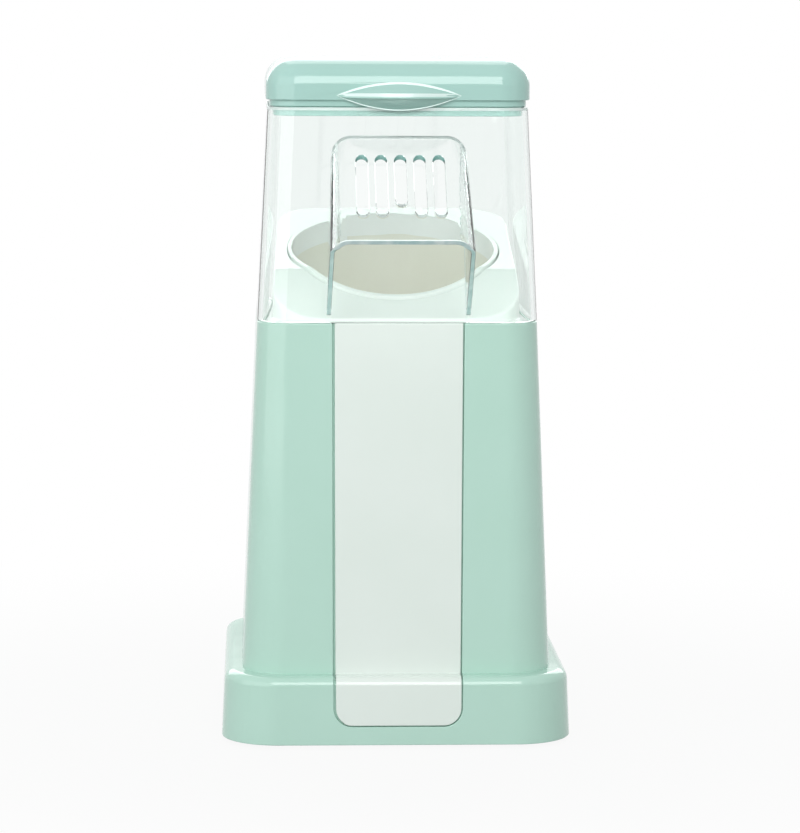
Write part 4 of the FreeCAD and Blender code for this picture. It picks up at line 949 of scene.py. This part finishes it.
@dataclass
class Lid:
    """The lift-off lid with its lens-shaped finger grip.

    The profiles of lip and bead are reach and rise; they shrink towards the grip's ends by a power
    of the way there, down to a least size.
    """

    edge_mm: float = 0.5
    grip_width_mm: float = 56.0
    grip_reach_mm: float = 8.0
    grip_round_mm: float = 0.42
    grip_above_mm: float = 7.7
    grip_below_mm: float = 4.3
    grip_crest_mm: float = 2.1
    skirt_above_plug_mm: float = 7.2
    lip_mm: Profile = (
        (-2.2, 1.3), (-1.2, 1.3), (-0.86, 1.2), (-0.52, -0.3), (-0.48, -1.0), (-0.75, -1.2),
        (-2.2, -1.2),
    )
    lip_sunk_mm: float = 1.0
    lip_power: int = 6
    lip_least: float = 0.02
    bead_mm: Profile = ((-0.6, 0.7), (0.3, 0.7), (0.42, 0.6), (0.65, -0.5), (0.5, -0.7), (-0.6, -0.7))
    bead_power: int = 4
    bead_least: float = 0.04
    lower_bead: float = 0.5
    # The side of the lip's and beads' rings that takes the painted highlight.
    highlight_side: int = 3
    steps: int = 64

    def build(self) -> None:
        """Build the lid with the lip and the beaded rims of its grip."""
        mesh = softened("lid", self.edge_mm)
        self.lip(mesh)
        above = (self.grip_above_mm - self.grip_crest_mm) / self.grip_reach_mm
        below = (self.grip_below_mm + self.grip_crest_mm) / self.grip_reach_mm
        self.bead(mesh, above, 1.0)
        self.bead(mesh, -below, self.lower_bead)
        add_piece(
            "lift_off_lid", mesh, LID_ABS, "lid", others=[GRIP_HIGHLIGHT_ABS],
            choose=lambda face: face.material_index,
        )

    @property
    def half(self) -> float:
        """Return half the grip's width."""
        return self.grip_width_mm / 2 * MM

    @property
    def radius(self) -> float:
        """Return the radius of the grip's plan."""
        half, reach = self.grip_width_mm / 2, self.grip_reach_mm
        return (half * half + reach * reach) / (2 * reach) * MM

    def apex(self) -> tuple[float, float]:
        """Find the foremost point of the grip's crest.

        Returns:
            Its place along Y and its height.
        """
        low = corners("lid")[0]
        height = low.z + self.skirt_above_plug_mm * MM + self.grip_crest_mm * MM
        return low.y - self.grip_round_mm * MM, height

    def lip(self, mesh: BMesh) -> None:
        """Run a narrow lip along the grip's crest; it leans back a little.

        Args:
            mesh: the lid's mesh.
        """
        front, height = self.apex()
        radius = self.radius
        axis = Vector((0.0, front + radius, 0.0))
        widest = math.asin(self.half / radius)
        rings = []
        for step in range(self.steps + 1):
            share = 2 * step / self.steps - 1
            size = math.sqrt(max(self.lip_least, 1 - share ** self.lip_power))
            angle = widest * share
            out = Vector((math.sin(angle), -math.cos(angle), 0.0))
            ring = []
            for reach, rise in self.lip_mm:
                away = radius + (reach * size - self.lip_sunk_mm * (1 - size)) * MM
                up = Vector((0.0, 0.0, height + rise * size * MM))
                ring.append(mesh.verts.new(axis + out * away + up))
            rings.append(ring)
        self.sweep(mesh, rings)

    def bead(self, mesh: BMesh, rise: float, scale: float) -> None:
        """Run a bead along the upper or the lower outline of the grip.

        Args:
            mesh: the lid's mesh.
            rise: how steeply the outline climbs from the crest; less than 0 for the lower one.
            scale: the bead's size.
        """
        front, height = self.apex()
        radius, reach = self.radius, self.grip_reach_mm * MM
        crest = Vector((0.0, front + reach, height))
        inner = radius - reach
        shares = [2 * step / self.steps - 1 for step in range(self.steps + 1)]
        line = []
        for share in shares:
            across = self.half * share
            climb = (radius - math.hypot(inner, across)) * rise
            line.append(crest + Vector((across, 0.0, climb)))
        side = Vector((0.0, -1.0, 0.0))
        rings = []
        for step, (share, point) in enumerate(zip(shares, line)):
            along = line[min(step + 1, self.steps)] - line[max(step - 1, 0)]
            over = side.cross(along).normalized()
            size = scale * MM * math.sqrt(max(self.bead_least, 1 - share ** self.bead_power))
            places = [point + (side * out + over * up) * size for out, up in self.bead_mm]
            rings.append([mesh.verts.new(place) for place in places])
        self.sweep(mesh, rings)

    def sweep(self, mesh: BMesh, rings: Sequence[Sequence[BMVert]]) -> None:
        """Skin a row of rings, with the front side in the painted highlight finish, and close its ends.

        Args:
            mesh: the mesh that holds the rings.
            rings: the rings in order.
        """
        made = [mesh.faces.new(rings[0]), mesh.faces.new(rings[-1])]
        for ring, following in zip(rings, rings[1:]):
            for at in range(len(ring)):
                corner = (ring[at - 1], ring[at], following[at], following[at - 1])
                made.append(mesh.faces.new(corner))
                # The front side of each ring takes the painted highlight.
                made[-1].material_index = int(at == self.highlight_side)
        bmesh.ops.recalc_face_normals(mesh, faces=made)


@dataclass
class RearFittings:
    """The power switch with its printed marks, and the inlet for the supply lead."""

    edge_mm: float = 0.4
    fine_edge_mm: float = 0.3
    touched_from: float = 0.8
    mark_mm: float = 4.0
    mark_line_mm: float = 0.8
    mark_steps: int = 32
    ink_mm: float = 0.04
    ink_depth: float = 1.5

    def build(self) -> None:
        """Build the fittings of the rear."""
        add_shell("switch_bezel", "switch_housing", SWITCH_NYLON, self.edge_mm)
        paddle = softened("switch_rocker", self.fine_edge_mm)
        paddle.normal_update()
        touched = [face for face in paddle.faces if face.normal.y > self.touched_from]
        widest = sorted(touched, key=lambda face: face.calc_area())[-2:]
        places = [(face.calc_center_median(), face.normal.copy()) for face in widest]
        lower, upper = sorted(places, key=lambda place: place[0].z)
        add_piece("switch_paddle", paddle, SWITCH_NYLON, "switch_rocker")
        half, line = self.mark_mm / 2, self.mark_line_mm / 2
        angles = [step * math.tau / self.mark_steps for step in range(self.mark_steps)]
        rings = [
            [(radius * math.cos(angle), radius * math.sin(angle)) for angle in angles]
            for radius in (half, half - 2 * line)
        ]
        self.mark("mark_off", rings, *lower)
        bar = [(-line, -half), (line, -half), (line, half), (-line, half)]
        self.mark("mark_on", [bar], *upper)
        add_shell("lead_gland", "cord_gland", RUBBER, self.fine_edge_mm)

    def mark(
        self, name: str, loops: Sequence[Sequence[tuple[float, float]]], middle: Vector,
        normal: Vector,
    ) -> None:
        """Print a mark on the paddle.

        Args:
            name: the mark's name.
            loops: its outlines, in millimetres.
            middle: the place of its middle.
            normal: the way that the paddle's face looks.
        """
        across = Vector((-1.0, 0.0, 0.0))
        along = normal.cross(across)
        ink = normal * self.ink_mm * MM
        mesh = bmesh.new()
        edges = []
        for loop in loops:
            places = [middle + (across * x + along * y) * MM + ink for x, y in loop]
            ring = [mesh.verts.new(place) for place in places]
            edges += [mesh.edges.new((ring[at - 1], ring[at])) for at in range(len(ring))]
        filled = bmesh.ops.triangle_fill(
            mesh, use_beauty=True, use_dissolve=False, edges=edges, normal=normal,
        )
        faces = [item for item in filled["geom"] if isinstance(item, BMFace)]
        for item in bmesh.ops.extrude_face_region(mesh, geom=faces)["geom"]:
            if isinstance(item, BMVert):
                item.co -= normal * self.ink_mm * self.ink_depth * MM
        bmesh.ops.recalc_face_normals(mesh, faces=mesh.faces)
        add_piece(name, mesh, MARK_WHITE, "switch_rocker", replace=False)


@dataclass
class Lamp:
    """A soft box: where it hangs, what it points at, its size and its power."""

    name: str
    place: tuple[float, float, float]
    target: tuple[float, float, float]
    width: float
    height: float
    watts: float

    def build(self) -> None:
        """Hang the lamp."""
        light = bpy.data.lights.new(self.name, "AREA")
        light.shape = "RECTANGLE"
        light.size, light.size_y = self.width, self.height
        light.energy = self.watts
        lamp = bpy.data.objects.new(self.name, light)
        lamp.location = self.place
        way = Vector(self.target) - Vector(self.place)
        lamp.rotation_euler = way.to_track_quat("-Z", "Y").to_euler()
        bpy.context.scene.collection.objects.link(lamp)


@dataclass
class Studio:
    """The floor, the light and the camera."""

    floor_side: float = 12.0
    floor_colour: str = "#B0B4B2"
    floor_white: tuple[float, float] = (0.93, 1.0)
    floor_fade: tuple[float, float] = (0.12, 0.5)
    ambient: float = 0.47
    front_gloom: float = 0.95
    gloom_reach: float = 0.4
    place: tuple[float, float, float] = (-0.067478, -1.580732, 0.33359)
    yaw_deg: float = 2.562
    pitch_deg: float = 6.845
    roll_deg: float = 0.265
    focal_px: float = 3398.4
    frame_height_px: float = 833.0
    sensor_mm: float = 36.0
    lamps: Sequence[Lamp] = field(default_factory=lambda: (
        Lamp("key_box", (-1.2, -1.0, 0.6), (0.0, 0.0, 0.16), 2.2, 1.4, 10.4),
        Lamp("front_box", (0.0, -1.5, 1.05), (0.0, 0.0, 0.2), 0.9, 0.95, 12.8),
        Lamp("fill_box", (1.2, -0.7, 0.6), (0.0, 0.0, 0.16), 0.6, 0.8, 0.6),
        Lamp("overhead_box", (0.0, 0.75, 1.25), (0.0, 0.1, 0.2), 0.8, 0.8, 3.4),
        Lamp("back_box", (0.0, 1.6, 0.85), (0.0, 0.0, 0.25), 2.4, 0.9, 14.0),
    ))

    def build(self) -> None:
        """Set up the floor, the world, the lamps and the camera."""
        self.floor()
        self.world()
        for lamp in self.lamps:
            lamp.build()
        self.camera()
        bpy.context.scene.view_settings.view_transform = "Standard"

    def floor(self) -> None:
        """Lay the pale floor, which looks white and keeps the shadow near the object."""
        mesh = bmesh.new()
        bmesh.ops.create_grid(mesh, x_segments=1, y_segments=1, size=self.floor_side / 2)
        data = bpy.data.meshes.new("floor")
        mesh.to_mesh(data)
        mesh.free()
        floor = bpy.data.objects.new("floor", data)
        bpy.context.scene.collection.objects.link(floor)
        paper = bpy.data.materials.new("pale_paper_sweep")
        paper.use_nodes = True
        tree = paper.node_tree
        tree.nodes.clear()
        place = add_node(tree, "ShaderNodeTexCoord").outputs["Object"]
        away = add_node(tree, "ShaderNodeVectorMath", {"operation": "LENGTH"}, {0: place})
        settings = {"interpolation_type": "SMOOTHSTEP"}
        settings |= {"From Min": self.floor_fade[0], "From Max": self.floor_fade[1]}
        settings |= {"To Min": self.floor_white[0], "To Max": self.floor_white[1]}
        fade = add_node(tree, "ShaderNodeMapRange", settings, {"Value": away.outputs["Value"]})
        links = {0: self.seen(tree), 1: fade.outputs["Result"]}
        share = add_node(tree, "ShaderNodeMath", {"operation": "MULTIPLY"}, links)
        matt = add_node(tree, "ShaderNodeBsdfDiffuse", {"Color": linear(self.floor_colour)})
        white = add_node(tree, "ShaderNodeEmission", {"Strength": 1.0})
        links = {0: share.outputs[0], 1: matt.outputs[0], 2: white.outputs[0]}
        mixed = add_node(tree, "ShaderNodeMixShader", None, links)
        add_node(tree, "ShaderNodeOutputMaterial", None, {"Surface": mixed.outputs[0]})
        data.materials.append(paper)

    def seen(self, tree: NodeTree) -> NodeSocket:
        """Find the rays that show the background: straight, mirrored or through a clear wall.

        Args:
            tree: the node tree that takes the nodes.

        Returns:
            1 on such a ray, else 0.
        """
        path = add_node(tree, "ShaderNodeLightPath").outputs
        links = {0: path["Is Camera Ray"], 1: path["Is Glossy Ray"]}
        mirrored = add_node(tree, "ShaderNodeMath", {"operation": "MAXIMUM"}, links)
        links = {0: mirrored.outputs[0], 1: path["Is Transmission Ray"]}
        return add_node(tree, "ShaderNodeMath", {"operation": "MAXIMUM"}, links).outputs[0]

    def world(self) -> None:
        """Surround the object with gentle white, mirrored a little dimmer from the front."""
        world = bpy.data.worlds.new("white_studio")
        bpy.context.scene.world = world
        world.use_nodes = True
        tree = world.node_tree
        tree.nodes.clear()
        way = add_node(tree, "ShaderNodeTexCoord").outputs["Generated"]
        depth = add_node(tree, "ShaderNodeSeparateXYZ", None, {0: way}).outputs["Y"]
        settings = {"From Min": -self.gloom_reach, "From Max": self.gloom_reach}
        settings |= {"To Min": self.front_gloom, "To Max": 1.0}
        room = add_node(tree, "ShaderNodeMapRange", settings, {"Value": depth}).outputs["Result"]
        mirror = add_node(tree, "ShaderNodeLightPath").outputs["Is Glossy Ray"]
        links = {0: mirror, MIX_VALUE_B: room}
        level = add_node(tree, "ShaderNodeMix", {MIX_VALUE_A: 1.0}, links).outputs[0]
        settings = {"Color": linear("#FFFFFF")}
        white = add_node(tree, "ShaderNodeBackground", settings, {"Strength": level})
        settings |= {"Strength": self.ambient}
        soft = add_node(tree, "ShaderNodeBackground", settings)
        links = {0: self.seen(tree), 1: soft.outputs[0], 2: white.outputs[0]}
        mixed = add_node(tree, "ShaderNodeMixShader", None, links)
        add_node(tree, "ShaderNodeOutputWorld", None, {"Surface": mixed.outputs[0]})

    def camera(self) -> None:
        """Set the camera at the photograph's angle."""
        data = bpy.data.cameras.new("camera")
        data.sensor_width = self.sensor_mm
        data.lens = self.focal_px * data.sensor_width / self.frame_height_px
        camera = bpy.data.objects.new("camera", data)
        camera.location = self.place
        pitch = Matrix.Rotation(math.radians(90.0 - self.pitch_deg), 4, "X")
        yaw = Matrix.Rotation(-math.radians(self.yaw_deg), 4, "Z")
        roll = Matrix.Rotation(math.radians(self.roll_deg), 4, "Z")
        camera.rotation_euler = (yaw @ pitch @ roll).to_euler()
        bpy.context.scene.collection.objects.link(camera)
        bpy.context.scene.camera = camera


def main() -> None:
    """Build the popcorn maker's looks and its studio."""
    logging.basicConfig(level=logging.INFO, format="%(name)s %(message)s")
    units = (BaseUnit(), Column(), PoppingUnit(), Blower(), ClearTop(), Lid(), RearFittings())
    for unit in (*units, Studio()):
        unit.build()


if __name__ == "__main__":
    main()
